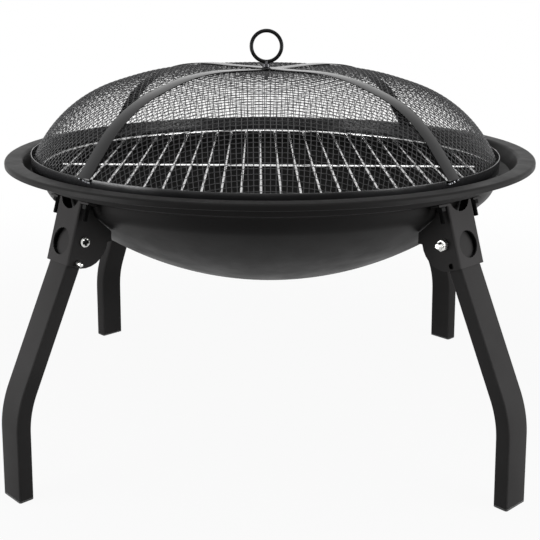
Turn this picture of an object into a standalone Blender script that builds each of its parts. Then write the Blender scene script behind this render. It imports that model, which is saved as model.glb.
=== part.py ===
"""Folding steel fire pit: a pressed dish on four folding legs, a wire grate and a domed spark screen.

Metres, +Z up. The origin is on the ground under the middle of the dish.
Every leg corner is built once, looking along +X from the dish's axis, and is turned to its place.
"""
import math

import bpy
import bmesh
from mathutils import Euler, Matrix, Vector

# Clearances
TOUCH = 0.0003          # gap between pieces that rest on each other
RUNNING = 0.0004        # gap round a pin or bolt
SIDE_PLAY = 0.0015      # gap on each side of a leg in its bracket
CUT_REACH = 0.006       # how far the cutter of a hole reaches to each side of its sheet
CHAMFER = 0.0005

# Dish, drawn along its underside
RIM_RADIUS = 0.280
RIM_HEIGHT = 0.2955
SHEET = 0.0012
FLANGE_WIDTH = 0.017
LIP_DROP = 0.0055
WALL_RUN = 0.007        # from the flange in to the ledge
WALL_FALL = 0.0149      # from the flange down to the ledge
LEDGE_WIDTH = 0.0135
LEDGE_SLOPE = math.radians(17.0)
STEP_RUN = 0.0025       # from the ledge in to the round part
STEP_FALL = 0.0127      # from the ledge down to the round part
DISH_DEPTH = 0.1003
DISH_SIDES = 48
STEP_BEND = 0.006       # bends of the dish, from the round part out to the lip
LEDGE_INNER_BEND = 0.0022
LEDGE_OUTER_BEND = 0.0014
FLANGE_BEND = 0.003
LIP_BEND = 0.0016

# Leg corners
CORNERS = {"front_left": 225.0, "front_right": 315.0, "rear_right": 45.0, "rear_left": 135.0}
PIVOT_INSET = 0.028     # from the rim in to the pivot
PIVOT_FALL = 0.0555     # from the rim down to the pivot
LEG_WIDTH = 0.030
LEG_DEPTH = 0.015
LEG_WALL = 0.0015
LEG_CORNER = 0.002
LEG_SPLAY = math.radians(25.5)
FOOT_SPLAY = math.radians(2.0)
KNEE_HEIGHT = 0.088
KNEE_BEND = 0.100
CAP_PLATE = 0.002
CAP_PLUG = 0.012
HEAD_CLEARANCE = 0.0005  # between the turning top of a leg and its bracket

# Brackets
BRACKET_SHEET = 0.0018
BRACKET_BEND = 0.0024
WEB_LEAN = math.radians(17.8)
WEB_FALL = 0.019        # from the pivot down to the web's lower edge, where the leg stops
CHEEK_RADIUS = 0.0255   # round lower corner of a side plate, about the pivot
CHEEK_SHOULDER = 0.0300  # from the pivot in to the plate's inner edge
SHOULDER_FALL = 0.0046
CHEEK_END = math.radians(283)  # where the round corner meets the line to the web
WINDOW = 0.0255         # round hole in the web
NOTCH = 0.030           # half-round notch in the web's upper edge
NOTCH_PITCH = 0.0458    # from the round hole up to the notch, along the web
EAR_WIDTH = 0.0125
EAR_LENGTH = 0.0105
EAR_BOLT_OUT = 0.001    # from the middle of the ledge out to its bolts
CHANNEL_DEPTH = 0.056   # size of the bent channel before its side view is cut
CHANNEL_BELOW = 0.014
CHANNEL_ABOVE = 0.066
OUTLINE_PAST_WEB = 0.002

# Fasteners
PIVOT_BOLT = 0.006
PIVOT_HEAD = 0.010
PIVOT_HEAD_RISE = 0.0032
PIVOT_NUT = 0.010
PIVOT_NUT_RISE = 0.005
PIVOT_BOLT_END = 0.0045
BOWL_BOLT = 0.005
BOWL_HEAD = 0.0083
BOWL_HEAD_RISE = 0.0040
BOWL_NUT = 0.008
BOWL_NUT_RISE = 0.004
BOWL_BOLT_END = 0.011

# Sprung lock buttons
LOCK_REACH = 0.021      # from the pivot down the leg
BUTTON = 0.005
BUTTON_COLLAR = 0.008
BUTTON_COLLAR_RISE = 0.001
BUTTON_PROUD = 0.0085   # out of the side plate
SPRING_STRIP = 0.0006
SPRING_WIDTH = 0.008
SPRING_LENGTH = 0.036
SPRING_LEAD = 0.001     # straight part past the button's collar
SPRING_BEND = 0.004
SPRING_NOSE = 0.003

# Spark screen
TOP_TURN = math.radians(2.5)
SCREEN_SHIFT = -0.0048
BAND_INSET = 0.0075     # from the outer edge of the ledge in to the band
BAND_HEIGHT = 0.0150
BAND_SHEET = 0.0008
BAND_HEM = 0.0055
BAND_SLOT = 0.0022
BAND_SIDES = 48
KNUCKLE = 0.128         # radius of the shoulder curve
KNUCKLE_FALL = 0.0455   # from the mesh's rim down to the middle of that curve
CROWN = 0.640           # radius of the top
MESH_WIRE = 0.0014
MESH_SLACK = 0.0002     # more room for the lattice's corners
MESH_PITCH = 0.036
STRAP_WIDTH = 0.015
STRAP_SHEET = 0.0010
STRAP_LEAVES = 0.024    # above the band, where a strap leaves the mesh
STRAP_TAIL = 0.0115     # strap length down the outside of the band
CROSSING_SPARE = 0.001  # how far the upper strap stays level past the edge of the lower one
CROSSING_REACH = 0.045  # where it has come down to the mesh

# Ring handle
RING_RADIUS = 0.0158
RING_WIRE = 0.0039
STUD = 0.004
STUD_NECK = 0.0004
COLLAR = 0.009
COLLAR_RISE = 0.0015
HANDLE_WASHER = 0.012
HANDLE_WASHER_RISE = 0.001
HANDLE_NUT = 0.007
HANDLE_NUT_RISE = 0.0032
STUD_END = 0.004

# Grate
GRATE_SHIFT = -0.0008
GRATE_ON_LEDGE = 0.0004  # from the inner edge of the ledge out to the middle of the ring
GRATE_RING = 0.004
GRATE_ROD = 0.003
GRATE_CROSS = 0.004
ROD_COUNT = 24
OUTER_ROD_INSET = 0.0278  # from the ring in to the outermost rods
ROD_SINK = 0.0008       # rods below the middle of the ring
WELD = 0.0006           # how deep welded wires sink into each other


def clear_scene():
    for item in list(bpy.data.objects):
        bpy.data.objects.remove(item, do_unlink=True)


def painted(name, colour, roughness, metallic):
    """A plain Principled material."""
    material = bpy.data.materials.new(name)
    material.use_nodes = True
    shader = material.node_tree.nodes["Principled BSDF"]
    shader.inputs["Base Color"].default_value = (*colour, 1.0)
    shader.inputs["Roughness"].default_value = roughness
    shader.inputs["Metallic"].default_value = metallic
    return material


def place(name, mesh, material, parent=None, location=(0, 0, 0), rotation=(0, 0, 0)):
    """Links an object that shows a mesh, in its parent's frame."""
    item = bpy.data.objects.new(name, mesh)
    bpy.context.scene.collection.objects.link(item)
    item.parent = parent
    item.location = location
    item.rotation_euler = rotation
    if not mesh.materials:
        mesh.materials.append(material)
    return item


def frame(name, parent=None, location=(0, 0, 0), rotation=(0, 0, 0)):
    """An empty that pieces are placed in."""
    item = bpy.data.objects.new(name, None)
    bpy.context.scene.collection.objects.link(item)
    item.parent = parent
    item.location = location
    item.rotation_euler = rotation
    return item


def finish(points, faces, name, smooth=math.radians(40)):
    """Makes a mesh whose faces point outwards, smooth but for its sharp edges."""
    mesh = bpy.data.meshes.new(name)
    mesh.from_pydata([tuple(p) for p in points], [], faces)
    work = bmesh.new()
    work.from_mesh(mesh)
    bmesh.ops.recalc_face_normals(work, faces=work.faces)
    work.to_mesh(mesh)
    work.free()
    mesh.shade_smooth()
    mesh.set_sharp_from_angle(angle=smooth)
    return mesh


def combine(base, tools, operation):
    """Applies exact Booleans of several meshes to a base mesh, one after another."""
    host = bpy.data.objects.new("host", base)
    bpy.context.scene.collection.objects.link(host)
    guests = []
    for tool in tools:
        guest = bpy.data.objects.new("tool", tool)
        guest.hide_render = True
        guest.display_type = "WIRE"
        bpy.context.scene.collection.objects.link(guest)
        guests.append(guest)
        cut = host.modifiers.new("cut", "BOOLEAN")
        cut.operation = operation
        cut.solver = "EXACT"
        cut.object = guest
    view = bpy.context.evaluated_depsgraph_get()
    result = bpy.data.meshes.new_from_object(host.evaluated_get(view))
    for item in [host, *guests]:
        bpy.data.objects.remove(item, do_unlink=True)
    result.shade_smooth()
    result.set_sharp_from_angle(angle=math.radians(40))
    return result


def turned(profile, sides, name, closed=True):
    """Revolves (radius, height) points about Z. An open profile starts and ends on the axis."""
    points = []
    rings = []
    for radius, height in profile:
        if radius < 1e-9:
            rings.append([len(points)])
            points.append((0.0, 0.0, height))
            continue
        rings.append(list(range(len(points), len(points) + sides)))
        for k in range(sides):
            angle = 2 * math.pi * k / sides
            points.append((radius * math.cos(angle), radius * math.sin(angle), height))
    pairs = list(zip(rings, rings[1:]))
    if closed:
        pairs.append((rings[-1], rings[0]))
    faces = []
    for low, high in pairs:
        for k in range(sides):
            n = (k + 1) % sides
            if len(low) == 1:
                faces.append((low[0], high[n], high[k]))
            elif len(high) == 1:
                faces.append((low[k], low[n], high[0]))
            else:
                faces.append((low[k], low[n], high[n], high[k]))
    return finish(points, faces, name)


def loft(loops, name, cap=True, ring=False):
    """Joins loops of equal length in order, with capped ends or as a closed ring."""
    count = len(loops[0])
    points = [p for loop in loops for p in loop]
    faces = []
    spans = len(loops) if ring else len(loops) - 1
    for i in range(spans):
        a = i * count
        b = ((i + 1) % len(loops)) * count
        for k in range(count):
            n = (k + 1) % count
            faces.append((a + k, a + n, b + n, b + k))
    if cap and not ring:
        faces.append(tuple(range(count)))
        last = (len(loops) - 1) * count
        faces.append(tuple(last + k for k in range(count)))
    return finish(points, faces, name)


def prism(outline, low, high, name):
    """Extrudes an XZ outline along Y."""
    return loft([[(x, low, z) for x, z in outline], [(x, high, z) for x, z in outline]], name)


def rounded(corners, radii, steps):
    """An open polyline whose inner corners become arcs of the given radii."""
    path = [Vector(corners[0])]
    for before, corner, after, radius in zip(corners, corners[1:], corners[2:], radii):
        corner = Vector(corner)
        back = (Vector(before) - corner).normalized()
        ahead = (Vector(after) - corner).normalized()
        half = back.angle(ahead) / 2
        middle = corner + (back + ahead).normalized() * (radius / math.sin(half))
        start = corner + back * (radius / math.tan(half)) - middle
        end = corner + ahead * (radius / math.tan(half)) - middle
        sweep = start.angle(end)
        for k in range(steps + 1):
            t = k / steps
            arm = (start * math.sin((1 - t) * sweep) + end * math.sin(t * sweep)) / math.sin(sweep)
            path.append(middle + arm)
    path.append(Vector(corners[-1]))
    return path


def beside(path, distance):
    """A polyline moved to its left by a distance, mitred at its corners."""
    result = []
    for k, point in enumerate(path):
        sides = []
        if k > 0:
            run = (point - path[k - 1]).normalized()
            sides.append(Vector((-run.y, run.x)))
        if k < len(path) - 1:
            run = (path[k + 1] - point).normalized()
            sides.append(Vector((-run.y, run.x)))
        normal = sum(sides, Vector((0, 0))).normalized()
        result.append(point + normal * (distance / normal.dot(sides[0])))
    return result


def round_bar(start, end, diameter, sides, name):
    """A straight round bar between two points."""
    start = Vector(start)
    end = Vector(end)
    turn = (end - start).to_track_quat("Z", "Y").to_matrix()
    loops = []
    for point in (start, end):
        ring = []
        for k in range(sides):
            angle = 2 * math.pi * (k + 0.5) / sides
            ring.append(point + turn @ Vector((math.cos(angle), math.sin(angle), 0)) * diameter / 2)
        loops.append(ring)
    return loft(loops, name)


def hexagon(across, bore, low, high, name):
    """A hexagon nut with its bore along Z."""
    loops = []
    sides = 12
    for radius_of, z in (("hex", low), ("hex", high), ("bore", high), ("bore", low)):
        ring = []
        for k in range(sides):
            angle = 2 * math.pi * k / sides
            if radius_of == "bore":
                radius = bore / 2
            elif k % 2:
                radius = across / 2
            else:
                radius = across / 2 / math.cos(math.pi / 6)
            ring.append((radius * math.cos(angle), radius * math.sin(angle), z))
        loops.append(ring)
    return loft(loops, name, ring=True)


def joined(meshes, name):
    """Puts separate bodies into one mesh, for use as one Boolean tool."""
    work = bmesh.new()
    for mesh in meshes:
        work.from_mesh(mesh)
    result = bpy.data.meshes.new(name)
    work.to_mesh(result)
    work.free()
    return result


# Places that several pieces share
FLANGE_UNDER = RIM_HEIGHT - SHEET
LEDGE_RADIUS = RIM_RADIUS - FLANGE_WIDTH - WALL_RUN
LEDGE_HEIGHT = FLANGE_UNDER - WALL_FALL
LEDGE_INNER = LEDGE_RADIUS - LEDGE_WIDTH
LEDGE_INNER_HEIGHT = LEDGE_HEIGHT - LEDGE_WIDTH * math.tan(LEDGE_SLOPE)
DISH_RADIUS = LEDGE_INNER - STEP_RUN
DISH_TOP = LEDGE_INNER_HEIGHT - STEP_FALL
DISH_BALL = (DISH_RADIUS ** 2 + DISH_DEPTH ** 2) / (2 * DISH_DEPTH)
DISH_CENTRE = DISH_TOP - DISH_DEPTH + DISH_BALL
PIVOT_RADIUS = RIM_RADIUS - PIVOT_INSET
PIVOT_HEIGHT = RIM_HEIGHT - PIVOT_FALL
BRACKET_WIDTH = LEG_WIDTH + 2 * SIDE_PLAY + 2 * BRACKET_SHEET
DOWN_LEG = Vector((math.sin(LEG_SPLAY), 0, -math.cos(LEG_SPLAY)))
OFF_LEG = Vector((math.cos(LEG_SPLAY), 0, math.sin(LEG_SPLAY)))
UP_WEB = Vector((-math.sin(WEB_LEAN), 0, math.cos(WEB_LEAN)))
OFF_WEB = Vector((math.cos(WEB_LEAN), 0, math.sin(WEB_LEAN)))
PIVOT = Vector((PIVOT_RADIUS, 0, PIVOT_HEIGHT))
LEG_FACE_AT_STOP = PIVOT_RADIUS + LEG_DEPTH / 2 / math.cos(LEG_SPLAY) + WEB_FALL * math.tan(LEG_SPLAY)
WEB_INNER_FOOT = Vector((LEG_FACE_AT_STOP + TOUCH, 0, PIVOT_HEIGHT - WEB_FALL))
WEB_FOOT = WEB_INNER_FOOT + OFF_WEB * BRACKET_SHEET
PIVOT_TO_WEB = (WEB_INNER_FOOT - PIVOT).dot(OFF_WEB)
LEG_HEAD = math.sqrt((PIVOT_TO_WEB - HEAD_CLEARANCE) ** 2 - (LEG_DEPTH / 2) ** 2)
EAR_MIDDLE = BRACKET_WIDTH / 2 + EAR_WIDTH / 2
EAR_BOLT_RADIUS = LEDGE_RADIUS - LEDGE_WIDTH / 2 + EAR_BOLT_OUT
EAR_BOLT_TURN = math.asin(EAR_MIDDLE / EAR_BOLT_RADIUS)
BORE_CORNER = LEG_CORNER - LEG_WALL / 2
BAND_RADIUS = LEDGE_RADIUS - BAND_INSET
GRATE_RADIUS = LEDGE_INNER + GRATE_ON_LEDGE
ROD_PITCH = 2 * (GRATE_RADIUS - OUTER_ROD_INSET) / (ROD_COUNT - 1)


def ledge_under(radius):
    """Height of the ledge's underside."""
    return LEDGE_HEIGHT - (LEDGE_RADIUS - radius) * math.tan(LEDGE_SLOPE)


def ledge_over(radius):
    """Height of the ledge's upper face."""
    return ledge_under(radius) + SHEET / math.cos(LEDGE_SLOPE)


def dish_under(height):
    """Radius of the round part's underside at a height."""
    return math.sqrt(DISH_BALL ** 2 - (DISH_CENTRE - height) ** 2)


def dish_underside():
    """The dish's underside as (radius, height) points, from the axis out to the lip."""
    edge = math.asin(DISH_RADIUS / DISH_BALL)
    arcs = 7
    ball = [(DISH_BALL * math.sin(edge * k / arcs), DISH_CENTRE - DISH_BALL * math.cos(edge * k / arcs))
            for k in range(arcs)]
    corners = [
        ball[-1],
        (DISH_RADIUS, DISH_TOP),
        (LEDGE_INNER, LEDGE_INNER_HEIGHT),
        (LEDGE_RADIUS, LEDGE_HEIGHT),
        (RIM_RADIUS - FLANGE_WIDTH, FLANGE_UNDER),
        (RIM_RADIUS - SHEET, FLANGE_UNDER),
        (RIM_RADIUS - SHEET, RIM_HEIGHT - LIP_DROP),
    ]
    bends = [STEP_BEND, LEDGE_INNER_BEND, LEDGE_OUTER_BEND, FLANGE_BEND, LIP_BEND]
    return [Vector(p) for p in ball[:-1]] + rounded(corners, bends, 1)


def bowl_bolt_axes(angle):
    """Where a bolt goes through the ledge: Z along the bolt, Z = 0 on the ledge's upper face."""
    spot = Vector((EAR_BOLT_RADIUS * math.cos(angle), EAR_BOLT_RADIUS * math.sin(angle),
                   ledge_over(EAR_BOLT_RADIUS)))
    return spot, (0, -LEDGE_SLOPE, angle)


def bowl_bolt_frames():
    """One frame for each of the eight bolts through the ledge, two at each bracket."""
    places = []
    for name, azimuth in CORNERS.items():
        for number, turn in ((1, -EAR_BOLT_TURN), (2, EAR_BOLT_TURN)):
            spot, rotation = bowl_bolt_axes(math.radians(azimuth) + turn)
            places.append((name, number, frame(f"{name}_bolt_place_{number}", None, spot, rotation)))
    return places


def bowl(material, bolt_places):
    """The pressed dish: round part, ledge for the screen and grate, wall, flange and turned-down lip."""
    under = dish_underside()
    over = beside(under, SHEET)
    over[0] = Vector((0, over[0].y))
    profile = [tuple(p) for p in under] + [tuple(p) for p in reversed(over)]
    shell = turned(profile, DISH_SIDES, "bowl", closed=False)
    cutters = []
    for place_frame in bolt_places:
        pin = round_bar((0, 0, -CUT_REACH), (0, 0, CUT_REACH), BOWL_BOLT + 2 * RUNNING, 10, "bolt_hole")
        pin.transform(place_frame.matrix_world)
        cutters.append(pin)
    holes = joined(cutters, "bolt_holes")
    return place("fire_bowl", combine(shell, [holes], "DIFFERENCE"), material)


def bracket_outline():
    """Side view of a bracket, as XZ points: under the ledge, down the dish, round the pivot, to the web."""
    near = beside(dish_underside(), -TOUCH)
    shoulder = PIVOT_RADIUS - CHEEK_SHOULDER
    run = [p for p in near if shoulder < p.x < LEDGE_RADIUS - LEDGE_OUTER_BEND and p.y < LEDGE_HEIGHT]
    edge = dish_under_height(shoulder)
    top_of_web = WEB_FOOT + UP_WEB * ((ledge_under(LEDGE_RADIUS) - WEB_FOOT.z) / UP_WEB.z)
    past_top = top_of_web.x + OUTLINE_PAST_WEB
    outline = [(past_top, ledge_under(past_top) - TOUCH / math.cos(LEDGE_SLOPE))]
    outline += [(p.x, p.y) for p in reversed(run)]
    outline += [(shoulder, edge), (shoulder, PIVOT_HEIGHT - SHOULDER_FALL)]
    first = math.pi + math.asin(SHOULDER_FALL / CHEEK_RADIUS)
    arcs = 7
    for k in range(arcs + 1):
        angle = first + (CHEEK_END - first) * k / arcs
        outline.append((PIVOT_RADIUS + CHEEK_RADIUS * math.cos(angle),
                        PIVOT_HEIGHT + CHEEK_RADIUS * math.sin(angle)))
    outline.append((WEB_FOOT.x + OUTLINE_PAST_WEB, WEB_FOOT.z))
    return outline


def dish_under_height(radius):
    """Height of the round part's underside at a radius, less the resting gap."""
    return DISH_CENTRE - math.sqrt((DISH_BALL + TOUCH) ** 2 - radius ** 2)


def bracket_channel():
    """A U channel of bent sheet, running up the web, deeper than the side plates."""
    depth = CHANNEL_DEPTH
    half = BRACKET_WIDTH / 2
    inner = half - BRACKET_SHEET
    outside = rounded([(-depth, half), (0, half), (0, -half), (-depth, -half)], [BRACKET_BEND] * 2, 3)
    bend = BRACKET_BEND - BRACKET_SHEET
    inside = rounded([(-depth, -inner), (-BRACKET_SHEET, -inner), (-BRACKET_SHEET, inner), (-depth, inner)],
                     [bend] * 2, 3)
    loops = []
    for climb in (-CHANNEL_BELOW, CHANNEL_ABOVE):
        base = WEB_FOOT + UP_WEB * climb
        loops.append([base + OFF_WEB * p.x + Vector((0, p.y, 0)) for p in outside + inside])
    return loft(loops, "channel")


def bracket_ears():
    """Two ears bent out from the side plates under the ledge, square to their bolts."""
    ears = []
    top = -SHEET - 2 * TOUCH
    for side in (-1, 1):
        spot, rotation = bowl_bolt_axes(side * EAR_BOLT_TURN)
        root = EAR_WIDTH / 2 + BRACKET_SHEET / 2
        flat = [(-EAR_LENGTH / 2, -side * root), (EAR_LENGTH / 2, -side * root),
                (EAR_LENGTH / 2, side * EAR_WIDTH / 2), (-EAR_LENGTH / 2, side * EAR_WIDTH / 2)]
        ear = loft([[(x, y, top) for x, y in flat], [(x, y, top - BRACKET_SHEET) for x, y in flat]], "ear")
        ear.transform(Matrix.LocRotScale(spot, Euler(rotation), None))
        ears.append(ear)
    return ears


def bracket_mesh():
    """A hinge bracket: bent channel trimmed to its side view, with ears, window, notch and pin holes."""
    blank = prism(bracket_outline(), -BRACKET_WIDTH, BRACKET_WIDTH, "blank")
    body = combine(bracket_channel(), [blank], "INTERSECT")
    body = combine(body, bracket_ears(), "UNION")
    window = WEB_FOOT + UP_WEB * ((PIVOT_HEIGHT - WEB_FOOT.z) / UP_WEB.z)
    notch = window + UP_WEB * NOTCH_PITCH
    reach = OFF_WEB * CUT_REACH
    wide = Vector((0, BRACKET_WIDTH, 0))
    lock = PIVOT + DOWN_LEG * LOCK_REACH
    cuts = [
        round_bar(window - reach, window + reach, WINDOW, 24, "window"),
        round_bar(notch - reach, notch + reach, NOTCH, 24, "notch"),
        round_bar(PIVOT - wide, PIVOT + wide, PIVOT_BOLT + 2 * RUNNING, 12, "pivot_hole"),
        round_bar(lock - wide, lock + wide, BUTTON + 2 * RUNNING, 10, "lock_hole"),
    ]
    for side in (-1, 1):
        spot, rotation = bowl_bolt_axes(side * EAR_BOLT_TURN)
        hole = round_bar((0, 0, -CUT_REACH), (0, 0, CUT_REACH), BOWL_BOLT + 2 * RUNNING, 10, "ear_hole")
        hole.transform(Matrix.LocRotScale(spot, Euler(rotation), None))
        cuts.append(hole)
    return combine(body, cuts, "DIFFERENCE")


def tube_section(width, depth, corner):
    """A rectangle with cut corners, as (across the depth, across the width) points."""
    w = width / 2
    d = depth / 2
    return [(d - corner, w), (-d + corner, w), (-d, w - corner), (-d, -w + corner),
            (-d + corner, -w), (d - corner, -w), (d, -w + corner), (d, w - corner)]


def leg_line():
    """Middle line of a leg in the XZ plane, from its top to the floor side of its foot cap."""
    top = PIVOT - DOWN_LEG * LEG_HEAD
    knee = PIVOT + DOWN_LEG * ((PIVOT_HEIGHT - KNEE_HEIGHT) / math.cos(LEG_SPLAY))
    fall = KNEE_HEIGHT - CAP_PLATE - TOUCH
    foot = Vector((knee.x + fall * math.tan(FOOT_SPLAY), 0, CAP_PLATE + TOUCH))
    return [Vector((p.x, p.y)) for p in
            rounded([(top.x, top.z), (knee.x, knee.z), (foot.x, foot.z)], [KNEE_BEND], 6)]


def leg_loops(section):
    """A section carried down the leg, cut level at the foot. Points are about the pivot."""
    line = leg_line()
    loops = []
    for k, point in enumerate(line):
        ahead = (line[min(k + 1, len(line) - 1)] - line[max(k - 1, 0)]).normalized()
        across = Vector((-ahead.y, ahead.x))
        level = k == len(line) - 1
        loop = []
        for depth, width in section:
            spot = point + across * depth
            if level:
                spot = Vector((point.x + depth / across.x, point.y))
            loop.append((spot.x - PIVOT_RADIUS, width, spot.y - PIVOT_HEIGHT))
        loops.append(loop)
    return loops


def leg_mesh():
    """A bent rectangular tube, open at both ends, with holes for the pivot bolt and the lock button."""
    outside = leg_loops(tube_section(LEG_WIDTH, LEG_DEPTH, LEG_CORNER))
    inside = leg_loops(tube_section(LEG_WIDTH - 2 * LEG_WALL, LEG_DEPTH - 2 * LEG_WALL, BORE_CORNER))
    tube = loft(outside + inside[::-1], "leg", ring=True)
    wide = Vector((0, LEG_WIDTH, 0))
    lock = DOWN_LEG * LOCK_REACH
    cuts = [
        round_bar(-wide, wide, PIVOT_BOLT + 2 * RUNNING, 12, "pivot_hole"),
        round_bar(lock, lock + wide, BUTTON + 2 * RUNNING, 10, "lock_hole"),
    ]
    return combine(tube, cuts, "DIFFERENCE")


def foot_cap_mesh():
    """A moulded cap: a flat sole under the tube's end and a plug inside it, about the pivot."""
    end = leg_line()[-1]
    slope = math.tan(FOOT_SPLAY)
    plug_gap = LEG_WALL + TOUCH
    sole = tube_section(LEG_WIDTH, LEG_DEPTH, LEG_CORNER)
    plug = tube_section(LEG_WIDTH - 2 * plug_gap, LEG_DEPTH - 2 * plug_gap, BORE_CORNER)
    loops = []
    for section, height in ((sole, 0), (sole, CAP_PLATE), (plug, CAP_PLATE), (plug, CAP_PLATE + CAP_PLUG)):
        shift = end.x - slope * (height - end.y)
        loops.append([(shift + d - PIVOT_RADIUS, w, height - PIVOT_HEIGHT) for d, w in section])
    return loft(loops, "foot_cap")


def screw_mesh(shank, head, rise, length, name):
    """A round-headed bolt along -Z, with the underside of its head at the origin."""
    arcs = 3
    profile = [(head / 2 * math.sin(math.pi / 2 * k / arcs), rise * math.cos(math.pi / 2 * k / arcs))
               for k in range(arcs)]
    profile += [(head / 2, 0), (shank / 2, 0), (shank / 2, -length), (0, -length)]
    return turned(profile[::-1], 10, name, closed=False)


def pivot_bolt_mesh():
    """The bolt that a leg turns on, from the head's side plate through to the nut."""
    length = BRACKET_WIDTH + 3 * TOUCH + PIVOT_NUT_RISE + PIVOT_BOLT_END
    return screw_mesh(PIVOT_BOLT, PIVOT_HEAD, PIVOT_HEAD_RISE, length, "pivot_bolt")


def bowl_bolt_length():
    """From the ledge's upper face, through the ledge, the ear and the nut."""
    return SHEET + BRACKET_SHEET + 4 * TOUCH + BOWL_NUT_RISE + BOWL_BOLT_END


def button_mesh():
    """A lock button along +Y from its collar inside the leg, with a round end. Y = 0 is the leg's middle."""
    collar_face = LEG_WIDTH / 2 - LEG_WALL - TOUCH
    tip = BRACKET_WIDTH / 2 + BUTTON_PROUD
    r = BUTTON / 2
    profile = [(0, collar_face - BUTTON_COLLAR_RISE), (BUTTON_COLLAR / 2, collar_face - BUTTON_COLLAR_RISE),
               (BUTTON_COLLAR / 2, collar_face), (r, collar_face), (r, tip - r)]
    profile += [(r * math.cos(a), tip - r + r * math.sin(a)) for a in (math.pi / 6, math.pi / 3)]
    profile.append((0, tip))
    mesh = turned(profile, 10, "lock_button", closed=False)
    mesh.transform(Matrix.Rotation(-math.pi / 2, 4, "X"))
    return mesh


def spring_mesh():
    """A leaf spring bent to a V, in the leg's YZ plane: Z down the leg from the button's middle."""
    face = LEG_WIDTH / 2 - LEG_WALL - TOUCH
    near = face - BUTTON_COLLAR_RISE - TOUCH - SPRING_STRIP / 2
    far = -face + SPRING_STRIP / 2
    start = -BUTTON_COLLAR / 2
    past = SPRING_LEAD - start
    corners = [(near, start), (near, past), (0, SPRING_LENGTH), (far, past), (far, start)]
    line = [Vector(p) for p in rounded(corners, [SPRING_BEND, SPRING_NOSE, SPRING_BEND], 3)]
    one = beside(line, SPRING_STRIP / 2)
    other = beside(line, -SPRING_STRIP / 2)
    strip = [(p.x, p.y) for p in one] + [(p.x, p.y) for p in reversed(other)]
    sides = []
    for depth in (-SPRING_WIDTH / 2, SPRING_WIDTH / 2):
        sides.append([OFF_LEG * depth + DOWN_LEG * s + Vector((0, y, 0)) for y, s in strip])
    return loft(sides, "lock_spring")


def band_bottoms():
    """Lowest heights of the screen's band: on the bolt heads at the left, on the grate's ring at the right."""
    head_top = ledge_over(EAR_BOLT_RADIUS) + (BOWL_HEAD_RISE + TOUCH) * math.cos(LEDGE_SLOPE) + 2 * TOUCH
    ring_top = grate_height() + GRATE_RING / 2 + TOUCH
    return head_top, ring_top


def grate_height():
    """Middle height of the grate's ring, lying on the inner part of the ledge."""
    edge = GRATE_RADIUS + GRATE_RING / 2 * math.sin(LEDGE_SLOPE)
    return ledge_over(edge) + (GRATE_RING / 2) * math.cos(LEDGE_SLOPE) + TOUCH / math.cos(LEDGE_SLOPE)


def band_mesh():
    """The screen's rim: a strip with its lower edge folded up inside. Z = 0 is its lowest edge."""
    outer = BAND_RADIUS
    inner = outer - BAND_SHEET
    fold = inner - BAND_SLOT
    profile = [(outer, 0), (outer, BAND_HEIGHT), (inner, BAND_HEIGHT), (inner, BAND_SHEET),
               (fold, BAND_SHEET), (fold, BAND_HEM), (fold - BAND_SHEET, BAND_HEM), (fold - BAND_SHEET, 0)]
    return turned(profile, BAND_SIDES, "screen_band")


MESH_RIM_RADIUS = BAND_RADIUS - BAND_SHEET - TOUCH - MESH_WIRE / 2 - MESH_SLACK
MESH_RIM_HEIGHT = BAND_HEM + TOUCH + MESH_WIRE / 2 + MESH_SLACK
SHOULDER_MIDDLE = MESH_RIM_RADIUS - math.sqrt(KNUCKLE ** 2 - KNUCKLE_FALL ** 2)
CROWN_MIDDLE = (MESH_RIM_HEIGHT - KNUCKLE_FALL
                - math.sqrt((CROWN - KNUCKLE) ** 2 - SHOULDER_MIDDLE ** 2))
CROWN_EDGE = CROWN * SHOULDER_MIDDLE / (CROWN - KNUCKLE)


def dome_height(radius, proud=0.0):
    """Height of the domed mesh at a radius above the band's lowest edge: a flat crown and a round shoulder."""
    if radius <= CROWN_EDGE:
        return CROWN_MIDDLE + math.sqrt((CROWN + proud) ** 2 - radius ** 2)
    rise = (KNUCKLE + proud) ** 2 - (radius - SHOULDER_MIDDLE) ** 2
    return MESH_RIM_HEIGHT - KNUCKLE_FALL + math.sqrt(rise)


def screen_mesh():
    """The domed net: a square weave over the dome with a wire round its rim, as one lattice."""
    lines = [MESH_PITCH * (k + 0.5) for k in range(int(MESH_RIM_RADIUS / MESH_PITCH - 0.5) + 1)]
    lines = [-v for v in reversed(lines)] + lines
    angles = set()
    for v in lines:
        reach = math.sqrt(MESH_RIM_RADIUS ** 2 - v ** 2)
        for x, y in ((v, reach), (v, -reach), (reach, v), (-reach, v)):
            angles.add(round(math.atan2(y, x) % (2 * math.pi), 6))
    work = bmesh.new()
    rim = [work.verts.new((MESH_RIM_RADIUS * math.cos(a), MESH_RIM_RADIUS * math.sin(a), 0))
           for a in sorted(angles)]
    work.faces.new(rim)
    for axis in range(2):
        for v in lines:
            spot = Vector((0, 0, 0))
            spot[axis] = v
            normal = Vector((0, 0, 0))
            normal[axis] = 1
            everything = work.verts[:] + work.edges[:] + work.faces[:]
            bmesh.ops.bisect_plane(work, geom=everything, dist=0.00002, plane_co=spot, plane_no=normal)
    bmesh.ops.remove_doubles(work, verts=work.verts, dist=0.0001)
    for vert in work.verts:
        vert.co.z = dome_height(min(vert.co.xy.length, MESH_RIM_RADIUS))
    mesh = bpy.data.meshes.new("screen_mesh")
    work.to_mesh(mesh)
    work.free()
    return mesh


def add_lattice(item):
    """Turns the edges of a surface into wires."""
    wires = item.modifiers.new("wires", "WIREFRAME")
    wires.thickness = MESH_WIRE
    wires.use_boundary = True
    wires.use_replace = True
    wires.use_even_offset = False


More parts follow.
